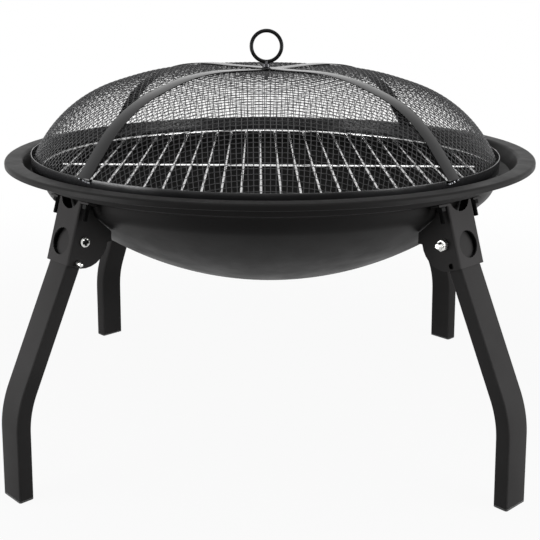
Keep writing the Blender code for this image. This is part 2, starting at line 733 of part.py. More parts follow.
def strap_line(lift):
    """Middle line of a strap as (radius, height), from the top of the dome down the outside of the band."""
    proud = MESH_WIRE / 2 + TOUCH + STRAP_SHEET / 2
    outside = BAND_RADIUS + TOUCH + STRAP_SHEET / 2
    leave_height = BAND_HEIGHT + STRAP_LEAVES
    leave = SHOULDER_MIDDLE + math.sqrt((KNUCKLE + proud) ** 2 - (leave_height - MESH_RIM_HEIGHT
                                                                  + KNUCKLE_FALL) ** 2)
    flat = STRAP_WIDTH / 2 + CROSSING_SPARE
    low = CROSSING_REACH
    steps = 10
    radii = [0, flat, low] + [low + (leave - low) * math.sin(math.pi / 2 * k / steps) for k in range(1, steps)]
    line = []
    for radius in radii:
        rise = lift * min(max((low - radius) / (low - flat), 0), 1)
        line.append((radius, dome_height(radius, proud) + rise))
    line.append((leave, leave_height))
    for k in range(1, 4):
        t = k / 3
        line.append((leave + (outside - leave) * math.sin(t * math.pi / 2),
                     leave_height + (BAND_HEIGHT - leave_height) * t))
    line.append((outside, BAND_HEIGHT - STRAP_TAIL))
    return line


def strap_mesh(lift, name):
    """A flat strap over the dome, with a hole for the handle's stud in the middle."""
    half = strap_line(lift)
    line = [Vector((-x, z)) for x, z in reversed(half[1:])] + [Vector(p) for p in half]
    over = beside(line, STRAP_SHEET / 2)
    under = beside(line, -STRAP_SHEET / 2)
    loops = []
    for top, low in zip(over, under):
        loops.append([(top.x, -STRAP_WIDTH / 2, top.y), (top.x, STRAP_WIDTH / 2, top.y),
                      (low.x, STRAP_WIDTH / 2, low.y), (low.x, -STRAP_WIDTH / 2, low.y)])
    strap = loft(loops, name)
    middle = dome_height(0)
    hole = round_bar((0, 0, middle - CUT_REACH), (0, 0, middle + CUT_REACH), STUD + 2 * RUNNING, 12, "stud_hole")
    return combine(strap, [hole], "DIFFERENCE")


CROSS_LIFT = STRAP_SHEET + TOUCH
COLLAR_SEAT = (dome_height(0, MESH_WIRE / 2 + TOUCH) + STRAP_SHEET + CROSS_LIFT + TOUCH)


def handle_mesh():
    """The ring handle: a wire ring, a collar under it and a threaded stud down through the dome."""
    collar_top = COLLAR_SEAT + COLLAR_RISE
    middle = collar_top + STUD_NECK + RING_RADIUS + RING_WIRE / 2 - WELD
    loops = []
    turns = 20
    for k in range(turns):
        angle = 2 * math.pi * k / turns
        loop = []
        for n in range(8):
            around = 2 * math.pi * n / 8
            reach = RING_RADIUS + RING_WIRE / 2 * math.cos(around)
            loop.append((reach * math.cos(angle), RING_WIRE / 2 * math.sin(around),
                         middle + reach * math.sin(angle)))
        loops.append(loop)
    ring = loft(loops, "ring", ring=True)
    low = dome_height(0, -MESH_WIRE / 2) - 3 * TOUCH - HANDLE_WASHER_RISE - HANDLE_NUT_RISE - STUD_END
    profile = [(0, low), (STUD / 2 - CHAMFER, low), (STUD / 2, low + CHAMFER), (STUD / 2, COLLAR_SEAT),
               (COLLAR / 2, COLLAR_SEAT), (COLLAR / 2, collar_top - CHAMFER), (STUD / 2, collar_top),
               (STUD / 2, collar_top + STUD_NECK + WELD), (0, collar_top + STUD_NECK + WELD)]
    stud = turned(profile, 12, "stud", closed=False)
    return combine(ring, [stud], "UNION")


def washer_mesh():
    """A flat washer under the net, about the stud."""
    top = dome_height(0, -MESH_WIRE / 2) - TOUCH
    low = top - HANDLE_WASHER_RISE
    bore = STUD / 2 + RUNNING
    return turned([(HANDLE_WASHER / 2, low), (HANDLE_WASHER / 2, top), (bore, top), (bore, low)], 16, "washer")


def handle_nut_mesh():
    """The nut below that washer."""
    top = dome_height(0, -MESH_WIRE / 2) - 2 * TOUCH - HANDLE_WASHER_RISE
    return hexagon(HANDLE_NUT, STUD + 2 * RUNNING, top - HANDLE_NUT_RISE, top, "handle_nut")


def grate_mesh():
    """A wire ring with parallel rods and one cross wire under them, welded together. Z = 0 is the ring."""
    loops = []
    for k in range(BAND_SIDES):
        angle = 2 * math.pi * k / BAND_SIDES
        loop = []
        for n in range(6):
            around = 2 * math.pi * (n + 0.5) / 6
            reach = GRATE_RADIUS + GRATE_RING / 2 * math.cos(around)
            loop.append((reach * math.cos(angle), reach * math.sin(angle), GRATE_RING / 2 * math.sin(around)))
        loops.append(loop)
    ring = loft(loops, "grate_ring", ring=True)
    rods = []
    for k in range(ROD_COUNT):
        x = (k - (ROD_COUNT - 1) / 2) * ROD_PITCH
        reach = math.sqrt((GRATE_RADIUS * math.cos(math.pi / BAND_SIDES)) ** 2 - x ** 2)
        rods.append(round_bar((x, -reach, -ROD_SINK), (x, reach, -ROD_SINK), GRATE_ROD, 6, "rod"))
    span = (ROD_COUNT / 2) * ROD_PITCH
    low = -ROD_SINK - GRATE_ROD / 2 - GRATE_CROSS / 2 + WELD
    cross = round_bar((-span, 0, low), (span, 0, low), GRATE_CROSS, 6, "cross_wire")
    return combine(ring, [joined(rods, "rods"), cross], "UNION")


def build_corners(paints, bolt_places):
    """Brackets, legs, caps, bolts, nuts, lock buttons and springs at the four corners."""
    bracket = bracket_mesh()
    leg = leg_mesh()
    cap = foot_cap_mesh()
    bolt = pivot_bolt_mesh()
    nut = hexagon(PIVOT_NUT, PIVOT_BOLT + 2 * RUNNING, -PIVOT_NUT_RISE, 0, "pivot_nut")
    button = button_mesh()
    spring = spring_mesh()
    face = BRACKET_WIDTH / 2 + TOUCH
    lock = DOWN_LEG * LOCK_REACH
    for name, azimuth in CORNERS.items():
        corner = frame(f"{name}_corner", rotation=(0, 0, math.radians(azimuth)))
        place(f"{name}_bracket", bracket, paints["black"], corner)
        place(f"{name}_pivot_bolt", bolt, paints["zinc"], corner, PIVOT + Vector((0, face, 0)),
              (-math.pi / 2, 0, 0))
        place(f"{name}_pivot_nut", nut, paints["zinc"], corner, PIVOT - Vector((0, face, 0)),
              (-math.pi / 2, 0, 0))
        turning = place(f"{name}_leg", leg, paints["black"], corner, PIVOT)
        place(f"{name}_foot_cap", cap, paints["plastic"], turning)
        place(f"{name}_lock_button", button, paints["zinc"], turning, lock)
        place(f"{name}_lock_spring", spring, paints["spring"], turning, lock)
    screw = screw_mesh(BOWL_BOLT, BOWL_HEAD, BOWL_HEAD_RISE, bowl_bolt_length(), "bracket_bolt")
    nut_top = -SHEET - 3 * TOUCH - BRACKET_SHEET
    small_nut = hexagon(BOWL_NUT, BOWL_BOLT + 2 * RUNNING, nut_top - BOWL_NUT_RISE, nut_top, "bracket_nut")
    for name, number, spot in bolt_places:
        place(f"{name}_bracket_bolt_{number}", screw, paints["zinc"], spot, (0, 0, TOUCH))
        place(f"{name}_bracket_nut_{number}", small_nut, paints["zinc"], spot)


def build_screen(paints):
    """The domed spark screen, lying a little off centre and leaning as it rests."""
    left, right = band_bottoms()
    left_reach = BAND_RADIUS * math.cos(math.radians(45)) - SCREEN_SHIFT
    lean = math.atan((left - right) / (left_reach + GRATE_RADIUS))
    middle = right + math.tan(lean) * GRATE_RADIUS
    seat = frame("screen_seat", location=(SCREEN_SHIFT, 0, middle), rotation=(0, lean, 0))
    turn = (0, 0, TOP_TURN)
    place("screen_band", band_mesh(), paints["black"], seat, rotation=turn)
    net = place("screen_mesh", screen_mesh(), paints["black"], seat, rotation=turn)
    add_lattice(net)
    quarter = math.radians(45)
    place("screen_strap_lower", strap_mesh(0, "strap_lower"), paints["black"], seat,
          rotation=(0, 0, TOP_TURN + quarter))
    place("screen_strap_upper", strap_mesh(CROSS_LIFT, "strap_upper"), paints["black"], seat,
          rotation=(0, 0, TOP_TURN - quarter))
    place("ring_handle", handle_mesh(), paints["black"], seat, rotation=turn)
    place("handle_washer", washer_mesh(), paints["zinc"], seat)
    place("handle_nut", handle_nut_mesh(), paints["zinc"], seat)


def build_grate(paints):
    """The cooking grate, lying on the ledge."""
    lean = math.atan(-GRATE_SHIFT * math.tan(LEDGE_SLOPE) / GRATE_RADIUS)
    place("cooking_grate", grate_mesh(), paints["chrome"], None, (GRATE_SHIFT, 0, grate_height()),
          (0, lean, TOP_TURN))


def main():
    clear_scene()
    paints = {
        "black": painted("black_paint", (0.028, 0.027, 0.027), 0.42, 0.0),
        "zinc": painted("bright_zinc", (0.72, 0.72, 0.70), 0.28, 1.0),
        "chrome": painted("chrome_wire", (0.80, 0.80, 0.80), 0.15, 1.0),
        "spring": painted("spring_steel", (0.45, 0.46, 0.48), 0.35, 1.0),
        "plastic": painted("black_plastic", (0.012, 0.012, 0.012), 0.60, 0.0),
    }
    bolt_places = bowl_bolt_frames()
    bpy.context.view_layer.update()
    bowl(paints["black"], [spot for _, _, spot in bolt_places])
    build_corners(paints, bolt_places)
    build_screen(paints)
    build_grate(paints)


main()
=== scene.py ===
"""The looks of a folding fire pit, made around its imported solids.

Every new piece is a surface worked out on a grid of points. Metres, +Z up, the same place as the solids.
A leg corner is worked out once, looking along +X from the dish's axis, and is turned to its place.
"""

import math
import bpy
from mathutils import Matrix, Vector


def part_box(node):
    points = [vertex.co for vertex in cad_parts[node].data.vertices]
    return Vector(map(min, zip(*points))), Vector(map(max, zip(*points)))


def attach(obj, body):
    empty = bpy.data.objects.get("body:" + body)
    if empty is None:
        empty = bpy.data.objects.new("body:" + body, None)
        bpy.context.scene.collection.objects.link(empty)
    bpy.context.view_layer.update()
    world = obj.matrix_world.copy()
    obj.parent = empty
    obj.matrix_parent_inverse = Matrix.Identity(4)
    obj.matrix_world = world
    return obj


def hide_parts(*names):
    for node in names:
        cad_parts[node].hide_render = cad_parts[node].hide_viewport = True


bl_info = {
    "name": "Folding fire pit",
    "version": (1, 0, 0),
    "blender": (4, 5, 0),
    "location": "View3D > Sidebar > Fire pit",
    "description": "Finished dish, legs, fasteners, grate and woven spark screen of a folding fire pit",
    "category": "Object",
}

import bmesh
import bpy
import numpy as np

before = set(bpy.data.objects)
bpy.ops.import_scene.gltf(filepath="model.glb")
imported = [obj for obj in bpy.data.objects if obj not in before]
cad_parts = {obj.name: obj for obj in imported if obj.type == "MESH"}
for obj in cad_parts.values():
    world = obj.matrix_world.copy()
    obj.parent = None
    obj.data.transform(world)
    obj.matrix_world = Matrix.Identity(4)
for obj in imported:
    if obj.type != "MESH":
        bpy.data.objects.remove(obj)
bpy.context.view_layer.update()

CORNERS = {"front_left": 225.0, "front_right": 315.0, "rear_right": 45.0, "rear_left": 135.0}

# Clearances
TOUCH = 0.0003
SIDE_PLAY = 0.0015
HEAD_CLEARANCE = 0.0005
NET_PLAY = 0.0002

# Dish
FLANGE_WIDTH = 0.017
LIP_DROP = 0.0055
WALL_FALL = 0.0149
LEDGE_RADIUS = 0.256
LEDGE_WIDTH = 0.0135
LEDGE_SLOPE = math.radians(17.0)
LEDGE_INNER = LEDGE_RADIUS - LEDGE_WIDTH
STEP_FALL = 0.0127
DISH_RADIUS = LEDGE_INNER - 0.0025
DISH_DEPTH = 0.1003
DISH_BENDS = (0.024, 0.0022, 0.0014, 0.003, 0.0016)  # radii from the bottom out to the lip
BALL_SHARE = 0.955  # how much of the round bottom there is before its bend
BALL_ROWS = 48

# Legs and brackets
PIVOT_INSET = 0.028
PIVOT_FALL = 0.0555
LEG_WIDTH = 0.030
LEG_DEPTH = 0.015
LEG_WALL = 0.0015
LEG_CORNER = 0.002
LEG_SPLAY = math.radians(25.5)
FOOT_SPLAY = math.radians(2.0)
KNEE_HEIGHT = 0.088
KNEE_BEND = 0.100
CAP_PLATE = 0.002
CAP_PLUG = 0.012
CAP_PLUG_CORNER = 0.001
CAP_EASE = 0.0005
BRACKET_SHEET = 0.0018
WEB_LEAN = math.radians(17.8)
WEB_FALL = 0.019
EAR_WIDTH = 0.0125
EAR_BOLT_OUT = 0.001
LOCK_REACH = 0.021
BUTTON = 0.005
BUTTON_PROUD = 0.0085
BUTTON_COLLAR = 0.004
BUTTON_COLLAR_RISE = 0.001
PIVOT_SHANK = 0.0059
PIVOT_THREAD = 0.012
PIVOT_PITCH = 0.001
PIVOT_HEAD = 0.010
PIVOT_HEAD_RISE = 0.0032
PIVOT_NUT = 0.010
PIVOT_NUT_BORE = 0.0062
PIVOT_NUT_RISE = 0.005
PIVOT_BOLT_END = 0.0045
BOWL_SHANK = 0.0049
BOWL_THREAD = 0.016
BOWL_PITCH = 0.0008
BOWL_HEAD = 0.0083
BOWL_HEAD_RISE = 0.0040
BOWL_NUT = 0.008
BOWL_NUT_BORE = 0.0052
BOWL_NUT_RISE = 0.004
BOWL_BOLT_END = 0.011
SLOT_EDGE = 0.0004
HEAD_ROWS = 18
SCREW_SIDES = 32

# Spark screen and its handle
TOP_TURN = math.radians(2.5)
TOP_LEAN = math.radians(0.48)  # the grate and the screen on it lie a little higher at the left
SCREEN_SHIFT = -0.0048
BAND_RADIUS = LEDGE_RADIUS - 0.0075
BAND_HEIGHT = 0.0150
BAND_SHEET = 0.0008
BAND_HEM = 0.0055
BAND_SLOT = 0.0022
BAND_SEAMS = (math.radians(184.5), math.radians(357.5))
SEAM_RISE = 0.0004
SEAM_HALF = 0.026
SEAM_EDGE = 0.004
KNUCKLE = 0.1365
KNUCKLE_FALL = 0.0536
CROWN = 0.514
DIMPLE = 0.0119
DIMPLE_REACH = 0.1385
NET_SOLID_WIRE = 0.0014
STRAP_WIDTH = 0.0175
STRAP_SHEET = 0.0010
STRAP_END = 0.0022
STRAP_BEND = 0.0015
STRAP_LOW = 0.045  # the upper strap is down on the dome again this far out
STRAP_ASIDE = 0.008  # each strap runs this far beside the middle, so they cross in front of it
LOWER_STRAP_TURN = math.radians(1.5)
WELD_SPOTS = (-0.0067, -0.0029, 0.0006, 0.0063)
WELD_BEAD = (0.0012, 0.0017, 0.0011)  # half its size out, along the band and up
RING_RADIUS = 0.0158
RING_WIRE = 0.0039
STUD = 0.004
STUD_NECK = 0.0004
STUD_END = 0.004
STUD_PITCH = 0.0007
COLLAR = 0.009
COLLAR_RISE = 0.0040
HANDLE_WASHER = 0.012
HANDLE_WASHER_BORE = 0.0048
HANDLE_WASHER_RISE = 0.001
HANDLE_NUT = 0.007
HANDLE_NUT_BORE = STUD + 0.0002
HANDLE_NUT_RISE = 0.0032

# Grate
GRATE_SHIFT = -0.0008
GRATE_RADIUS = LEDGE_INNER + 0.0004
GRATE_RING = 0.004
GRATE_ROD = 0.003
GRATE_CROSS = 0.004
ROD_COUNT = 24
ROD_PITCH = 2 * (GRATE_RADIUS - 0.0278) / (ROD_COUNT - 1)
ROD_SINK = 0.0008
WELD = 0.0006

# Stage
FLOOR_REACH = 9.0
FLOOR_FALL = 0.0005
LAMP_TARGET = (0, 0, 0.2)


def length_setting(name, description, default):
    """A length that can be changed in the panel."""
    return bpy.props.FloatProperty(name=name, description=description, default=default, unit="LENGTH")


def colour_setting(name, description, default):
    """A colour that can be changed in the panel."""
    return bpy.props.FloatVectorProperty(
        name=name, description=description, default=default, size=3, subtype="COLOR", min=0, max=1)


class FirePitDish(bpy.types.PropertyGroup):
    """Sizes of the pressed dish."""

    rim_radius: length_setting(
        "Rim radius", "From the middle of the dish to the outside of its lip",
        round(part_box("fire_bowl")[1][0], 4))
    rim_height: length_setting(
        "Rim height", "From the ground to the top of the flange", round(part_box("fire_bowl")[1][2], 4))
    sheet: length_setting("Sheet", "Thickness of the dish", 0.0012)
    sides: bpy.props.IntProperty(
        name="Sides", description="How many flats make the round", default=240, min=48)


class FirePitScreen(bpy.types.PropertyGroup):
    """Sizes of the woven net."""

    pitch: length_setting("Net pitch", "From one wire of the net to the next", 0.0053)
    wire: length_setting("Net wire", "Diameter of the net's wires", 0.0007)
    ring_radius: length_setting(
        "Ring radius", "Radius of the ring handle at the middle of its wire", RING_RADIUS)


class FirePitGrate(bpy.types.PropertyGroup):
    """Sizes of the grate."""

    rod: length_setting("Rod", "Diameter of the grate's rods", GRATE_ROD)
    pitch: length_setting("Rod pitch", "From one rod to the next", ROD_PITCH)


class FirePitFinishes(bpy.types.PropertyGroup):
    """Colours and gloss of the finishes."""

    paint: colour_setting("Paint", "Colour of the dish and legs", (0.0140, 0.0136, 0.0136))
    paint_roughness: bpy.props.FloatProperty(
        name="Paint roughness", description="How dull the paint is", default=0.40, min=0, max=1,
        subtype="FACTOR")
    wire_paint: colour_setting("Wire paint", "Colour of the net and handle", (0.020, 0.020, 0.021))
    zinc: colour_setting("Zinc", "Colour of the bolts and nuts", (0.72, 0.72, 0.70))
    chrome: colour_setting("Chrome", "Colour of the grate", (0.86, 0.86, 0.86))
    plastic: colour_setting("Plastic", "Colour of the foot caps", (0.012, 0.012, 0.012))


class FirePitStage(bpy.types.PropertyGroup):
    """The camera and the lamps."""

    lens: bpy.props.FloatProperty(
        name="Lens", description="Focal length on a 36 mm sensor, in millimetres", default=66.48)
    camera: bpy.props.FloatVectorProperty(
        name="Camera", description="Place of the camera", default=(0.0348, -1.0768, 0.4695), size=3,
        subtype="TRANSLATION", unit="LENGTH")
    camera_down: bpy.props.FloatProperty(
        name="Camera down", description="How far the camera looks down", default=math.radians(16.056),
        subtype="ANGLE")
    camera_turn: bpy.props.FloatProperty(
        name="Camera turn", description="How far the camera turns to its left", default=math.radians(1.85),
        subtype="ANGLE")
    key_power: bpy.props.FloatProperty(
        name="Key lamp", description="Power of the lamp overhead", default=22.0, unit="POWER")
    side_power: bpy.props.FloatProperty(
        name="Side lamps", description="Power of each lamp at the sides", default=6.2, unit="POWER")


# Places that several pieces share
def dish_numbers():
    """Heights and radii along the dish's underside, from its sizes."""
    sizes = bpy.context.scene.fire_pit_dish
    flange = sizes.rim_height - sizes.sheet
    ledge = flange - WALL_FALL
    inner = ledge - LEDGE_WIDTH * math.tan(LEDGE_SLOPE)
    top = inner - STEP_FALL
    ball = (DISH_RADIUS ** 2 + DISH_DEPTH ** 2) / (2 * DISH_DEPTH)
    return {"flange": flange, "ledge": ledge, "inner": inner, "top": top, "ball": ball,
            "centre": top - DISH_DEPTH + ball}


def ledge_over(radius):
    """Height of the ledge's upper face at a radius: its underside's slope, a sheet higher."""
    under = dish_numbers()["ledge"] - (LEDGE_RADIUS - radius) * math.tan(LEDGE_SLOPE)
    return under + bpy.context.scene.fire_pit_dish.sheet / math.cos(LEDGE_SLOPE)


EAR_BOLT_RADIUS = LEDGE_RADIUS - LEDGE_WIDTH / 2 + EAR_BOLT_OUT
BRACKET_WIDTH = LEG_WIDTH + 2 * SIDE_PLAY + 2 * BRACKET_SHEET
EAR_BOLT_TURN = math.asin((BRACKET_WIDTH + EAR_WIDTH) / 2 / EAR_BOLT_RADIUS)
NET_RIM_RADIUS = BAND_RADIUS - BAND_SHEET - TOUCH - NET_SOLID_WIRE / 2 - NET_PLAY
NET_RIM_HEIGHT = BAND_HEM + TOUCH + NET_SOLID_WIRE / 2 + NET_PLAY
SHOULDER_MIDDLE = NET_RIM_RADIUS - math.sqrt(KNUCKLE ** 2 - KNUCKLE_FALL ** 2)
CROWN_MIDDLE = NET_RIM_HEIGHT - KNUCKLE_FALL - math.sqrt((CROWN - KNUCKLE) ** 2 - SHOULDER_MIDDLE ** 2)
CROWN_EDGE = CROWN * SHOULDER_MIDDLE / (CROWN - KNUCKLE)
CROSS_LIFT = STRAP_SHEET + TOUCH


def dimple(radius):
    """How far the handle's nut draws the crown down: half a cosine wave out to its reach."""
    return DIMPLE * (1 + np.cos(math.pi * np.minimum(np.asarray(radius, float) / DIMPLE_REACH, 1))) / 2


def dome_height(radius, proud=0.0):
    """Height of the dome over the band's lowest edge: a wide dimpled crown arc, then a shoulder arc."""
    radius = np.asarray(radius, float)
    crown = CROWN_MIDDLE + np.sqrt((CROWN + proud) ** 2 - radius ** 2) - dimple(radius)
    rise = np.maximum((KNUCKLE + proud) ** 2 - (radius - SHOULDER_MIDDLE) ** 2, 0)
    return np.where(radius <= CROWN_EDGE, crown, NET_RIM_HEIGHT - KNUCKLE_FALL + np.sqrt(rise))


def pivot():
    """Radius and height of a leg's pivot."""
    sizes = bpy.context.scene.fire_pit_dish
    return sizes.rim_radius - PIVOT_INSET, sizes.rim_height - PIVOT_FALL


def matrix(location=(0, 0, 0), x=0.0, y=0.0, z=0.0):
    """A place as a 4 by 4 matrix: turned about X, then Y, then Z, then moved."""
    cx, sx, cy, sy, cz, sz = (f(a) for a in (x, y, z) for f in (math.cos, math.sin))
    turn_x = np.array([[1, 0, 0], [0, cx, -sx], [0, sx, cx]])
    turn_y = np.array([[cy, 0, sy], [0, 1, 0], [-sy, 0, cy]])
    turn_z = np.array([[cz, -sz, 0], [sz, cz, 0], [0, 0, 1]])
    place = np.eye(4)
    place[:3, :3] = turn_z @ turn_y @ turn_x
    place[:3, 3] = location
    return place


def moved(points, place):
    """Points taken through a place's matrix."""
    return points @ place[:3, :3].T + place[:3, 3]


def grate_height():
    """Middle height of the grate's ring, lying on the inner part of the ledge."""
    edge = GRATE_RADIUS + GRATE_RING / 2 * math.sin(LEDGE_SLOPE)
    return ledge_over(edge) + GRATE_RING / 2 * math.cos(LEDGE_SLOPE) + TOUCH / math.cos(LEDGE_SLOPE)


def grate_seat(turn):
    """Where the grate lies: on the ledge at its right, and higher at its left."""
    middle = grate_height() + math.tan(TOP_LEAN) * GRATE_RADIUS
    return matrix((GRATE_SHIFT, 0, middle), y=TOP_LEAN) @ matrix(z=turn)


def screen_seat(turn):
    """Where the screen lies: on the grate's ring."""
    middle = grate_height() + math.tan(TOP_LEAN) * (GRATE_RADIUS + SCREEN_SHIFT) + GRATE_RING / 2 + TOUCH
    return matrix((SCREEN_SHIFT, 0, middle), y=TOP_LEAN) @ matrix(z=turn)


# Making meshes
def round_corners(corners, radii, steps):
    """An open polyline in a plane whose inner corners become arcs.

    Each arc's middle lies on the corner's bisector, at its radius over the sine of the half angle."""
    corners = [np.asarray(c, float) for c in corners]
    path = [corners[0][None]]
    t = np.linspace(0, 1, steps + 1)[:, None]
    for before, corner, after, radius in zip(corners, corners[1:], corners[2:], radii):
        back = (before - corner) / np.linalg.norm(before - corner)
        ahead = (after - corner) / np.linalg.norm(after - corner)
        half = math.acos(float(np.clip(back @ ahead, -1, 1))) / 2
        bisector = (back + ahead) / np.linalg.norm(back + ahead)
        middle = corner + bisector * (radius / math.sin(half))
        start = corner + back * (radius / math.tan(half)) - middle
        end = corner + ahead * (radius / math.tan(half)) - middle
        sweep = math.pi - 2 * half
        path.append(middle + (start * np.sin((1 - t) * sweep) + end * np.sin(t * sweep)) / math.sin(sweep))
    path.append(corners[-1][None])
    return np.concatenate(path)


def beside(path, distance):
    """A polyline moved to its left: each point along the mean of its two sides' normals, mitred."""
    run = np.diff(path, axis=0)
    run /= np.linalg.norm(run, axis=1)[:, None]
    side = np.stack([-run[:, 1], run[:, 0]], axis=1)
    first = np.concatenate([side[:1], side])
    second = np.concatenate([side, side[-1:]])
    normal = first + second
    normal /= np.linalg.norm(normal, axis=1)[:, None]
    return path + normal * (distance / np.sum(normal * second, axis=1))[:, None]


def grid(points, wrap_rows=False, wrap_columns=True):
    """Quads between neighbouring points of a (rows, columns, 3) array, wrapped round as asked."""
    rows, columns = points.shape[:2]
    index = np.arange(rows * columns).reshape(rows, columns)
    if wrap_rows:
        index = np.concatenate([index, index[:1]], axis=0)
    if wrap_columns:
        index = np.concatenate([index, index[:, :1]], axis=1)
    quads = np.stack([index[:-1, :-1], index[:-1, 1:], index[1:, 1:], index[1:, :-1]], axis=-1)
    return points.reshape(-1, 3), quads.reshape(-1, 4)


def closed_rows(points):
    """Adds a row shrunk to its middle at each end, so that a tube of rows is a closed solid."""
    first = np.repeat(points[:1].mean(axis=1, keepdims=True), points.shape[1], axis=1)
    last = np.repeat(points[-1:].mean(axis=1, keepdims=True), points.shape[1], axis=1)
    return np.concatenate([first, points, last])


def spread(sides):
    """Angles spread evenly round a circle."""
    return np.arange(sides) * (2 * math.pi / sides)


def around(radius, angle, height):
    """Points at a radius, an angle and a height. What several points share is given once."""
    radius, angle, height = np.broadcast_arrays(radius, angle, height)
    return np.stack([radius * np.cos(angle), radius * np.sin(angle), height], axis=-1)


def placed(surface, place):
    """Points and quads, the points taken through a place's matrix."""
    points, quads = surface
    return moved(points, place), quads


def revolve(profile, sides, place=None, swell=None):
    """A (radius, height) profile carried round Z. swell(angle, profile) adds to the radius of each point."""
    angle = spread(sides)
    radius = profile[:, :1]
    if swell is not None:
        radius = radius + swell(angle[None], profile)
    points = around(radius, angle, profile[:, 1:])
    return points if place is None else moved(points, place)


def tube(path, radius, sides, up, closed=False, round_ends=0):
    """A circle carried along a path, square to it.

    One axis of the circle is the path's direction crossed with the up vector, the other is square to both.
    Round ends are rows that shrink as a cosine while they go out as a sine."""
    path = np.asarray(path, float)
    if closed:
        run = np.roll(path, -1, axis=0) - np.roll(path, 1, axis=0)
    else:
        run = np.gradient(path, axis=0)
    run /= np.linalg.norm(run, axis=1)[:, None]
    up = np.broadcast_to(np.asarray(up, float), path.shape)
    across = np.cross(run, up)
    across /= np.linalg.norm(across, axis=1)[:, None]
    other = np.cross(across, run)
    angle = spread(sides)
    ring = across[:, None] * np.cos(angle)[None, :, None] + other[:, None] * np.sin(angle)[None, :, None]
    rows = path[:, None] + ring * radius
    if closed:
        return grid(rows, wrap_rows=True)
    if round_ends:
        t = np.linspace(0, math.pi / 2, round_ends + 1)[1:-1][:, None, None]
        tail = path[-1] + run[-1] * radius * np.sin(t) + ring[-1][None] * radius * np.cos(t)
        head = path[0] - run[0] * radius * np.sin(t) + ring[0][None] * radius * np.cos(t)
        tip = np.broadcast_to(path[-1] + run[-1] * radius, (1, sides, 3))
        nose = np.broadcast_to(path[0] - run[0] * radius, (1, sides, 3))
        return grid(np.concatenate([nose, head[::-1], rows, tail, tip]))
    return grid(closed_rows(rows))


def joined(parts):
    """Several (points, quads) pairs as one."""
    points = np.concatenate([p for p, _ in parts])
    starts = np.cumsum([0] + [len(p) for p, _ in parts[:-1]])
    return points, np.concatenate([q + s for (_, q), s in zip(parts, starts)])


FINISHES = {}


def build(name, surface, finish, body, nodes, sharp=35.0):
    """Makes a closed smooth piece from points and quads, sets it on the empty of what it rides on and hides
    the imported solids that it stands for.

    A third part of the surface is how deep each point lies in a recess, 0 to 1, which the finish darkens as
    painted shade."""
    points, quads, *depth = surface
    mesh = bpy.data.meshes.new(name)
    mesh.vertices.add(len(points))
    mesh.vertices.foreach_set("co", np.ascontiguousarray(points, dtype=np.float32).ravel())
    mesh.loops.add(len(quads) * 4)
    mesh.loops.foreach_set("vertex_index", np.ascontiguousarray(quads, dtype=np.int32).ravel())
    mesh.polygons.add(len(quads))
    mesh.polygons.foreach_set("loop_start", np.arange(0, len(quads) * 4, 4, dtype=np.int32))
    mesh.update(calc_edges=True)
    if depth:
        recess = mesh.attributes.new("recess", "FLOAT", "POINT")
        recess.data.foreach_set("value", np.ascontiguousarray(depth[0], dtype=np.float32))
    work = bmesh.new()
    work.from_mesh(mesh)
    bmesh.ops.remove_doubles(work, verts=work.verts, dist=1e-7)
    bmesh.ops.dissolve_degenerate(work, edges=work.edges, dist=1e-8)
    bmesh.ops.recalc_face_normals(work, faces=work.faces)
    work.to_mesh(mesh)
    work.free()
    mesh.shade_smooth()
    mesh.set_sharp_from_angle(angle=math.radians(sharp))
    mesh.materials.append(FINISHES[finish])
    piece = bpy.data.objects.new(name, mesh)
    bpy.context.scene.collection.objects.link(piece)
    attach(piece, body)
    if nodes:
        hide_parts(*nodes)
    return piece


# Finishes
def set_inputs(tree, node, inputs):
    """Gives each named input of a node a constant, or a link from another node's output."""
    for socket, value in inputs.items():
        if isinstance(value, bpy.types.NodeSocket):
            tree.links.new(value, node.inputs[socket])
        else:
            node.inputs[socket].default_value = value


def add_node(tree, kind, inputs, **settings):
    """Adds a node with its settings and its inputs."""
    node = tree.nodes.new("ShaderNode" + kind)
    for key, value in settings.items():
        setattr(node, key, value)
    set_inputs(tree, node, inputs)
    return node


def start_material(name):
    """A new material with its node tree, its shader and the piece's own coordinates."""
    material = bpy.data.materials.new(name)
    material.use_nodes = True
    tree = material.node_tree
    where = add_node(tree, "TexCoord", {})
    return material, tree, tree.nodes["Principled BSDF"], where.outputs["Object"]


def noise(tree, where, scale, detail, roughness=0.5, stretch=None):
    """A noise over the piece, from its own coordinates, stretched along an axis if asked."""
    if stretch is not None:
        where = add_node(tree, "Mapping", {"Vector": where, "Scale": stretch}).outputs["Vector"]
    inputs = {"Vector": where, "Scale": scale, "Detail": detail, "Roughness": roughness}
    return add_node(tree, "TexNoise", inputs).outputs["Fac"]


def between(tree, factor, low, high, span=(0.3, 0.7)):
    """Turns a noise into a value from low to high."""
    inputs = {"Value": factor, "From Min": span[0], "From Max": span[1], "To Min": low, "To Max": high}
    return add_node(tree, "MapRange", inputs).outputs["Result"]


def tint(tree, factor, first, second):
    """Mixes two colours by a factor. Each is three numbers or another node's output."""
    first, second = (c if isinstance(c, bpy.types.NodeSocket) else (*c, 1) for c in (first, second))
    inputs = {"Factor": factor, "A": first, "B": second}
    return add_node(tree, "Mix", inputs, data_type="RGBA").outputs["Result"]


def relief(tree, shader, height, strength, distance):
    """Raises the surface by a height, in metres times its strength."""
    bump = add_node(tree, "Bump", {"Strength": strength, "Distance": distance, "Height": height})
    set_inputs(tree, shader, {"Normal": bump.outputs["Normal"]})


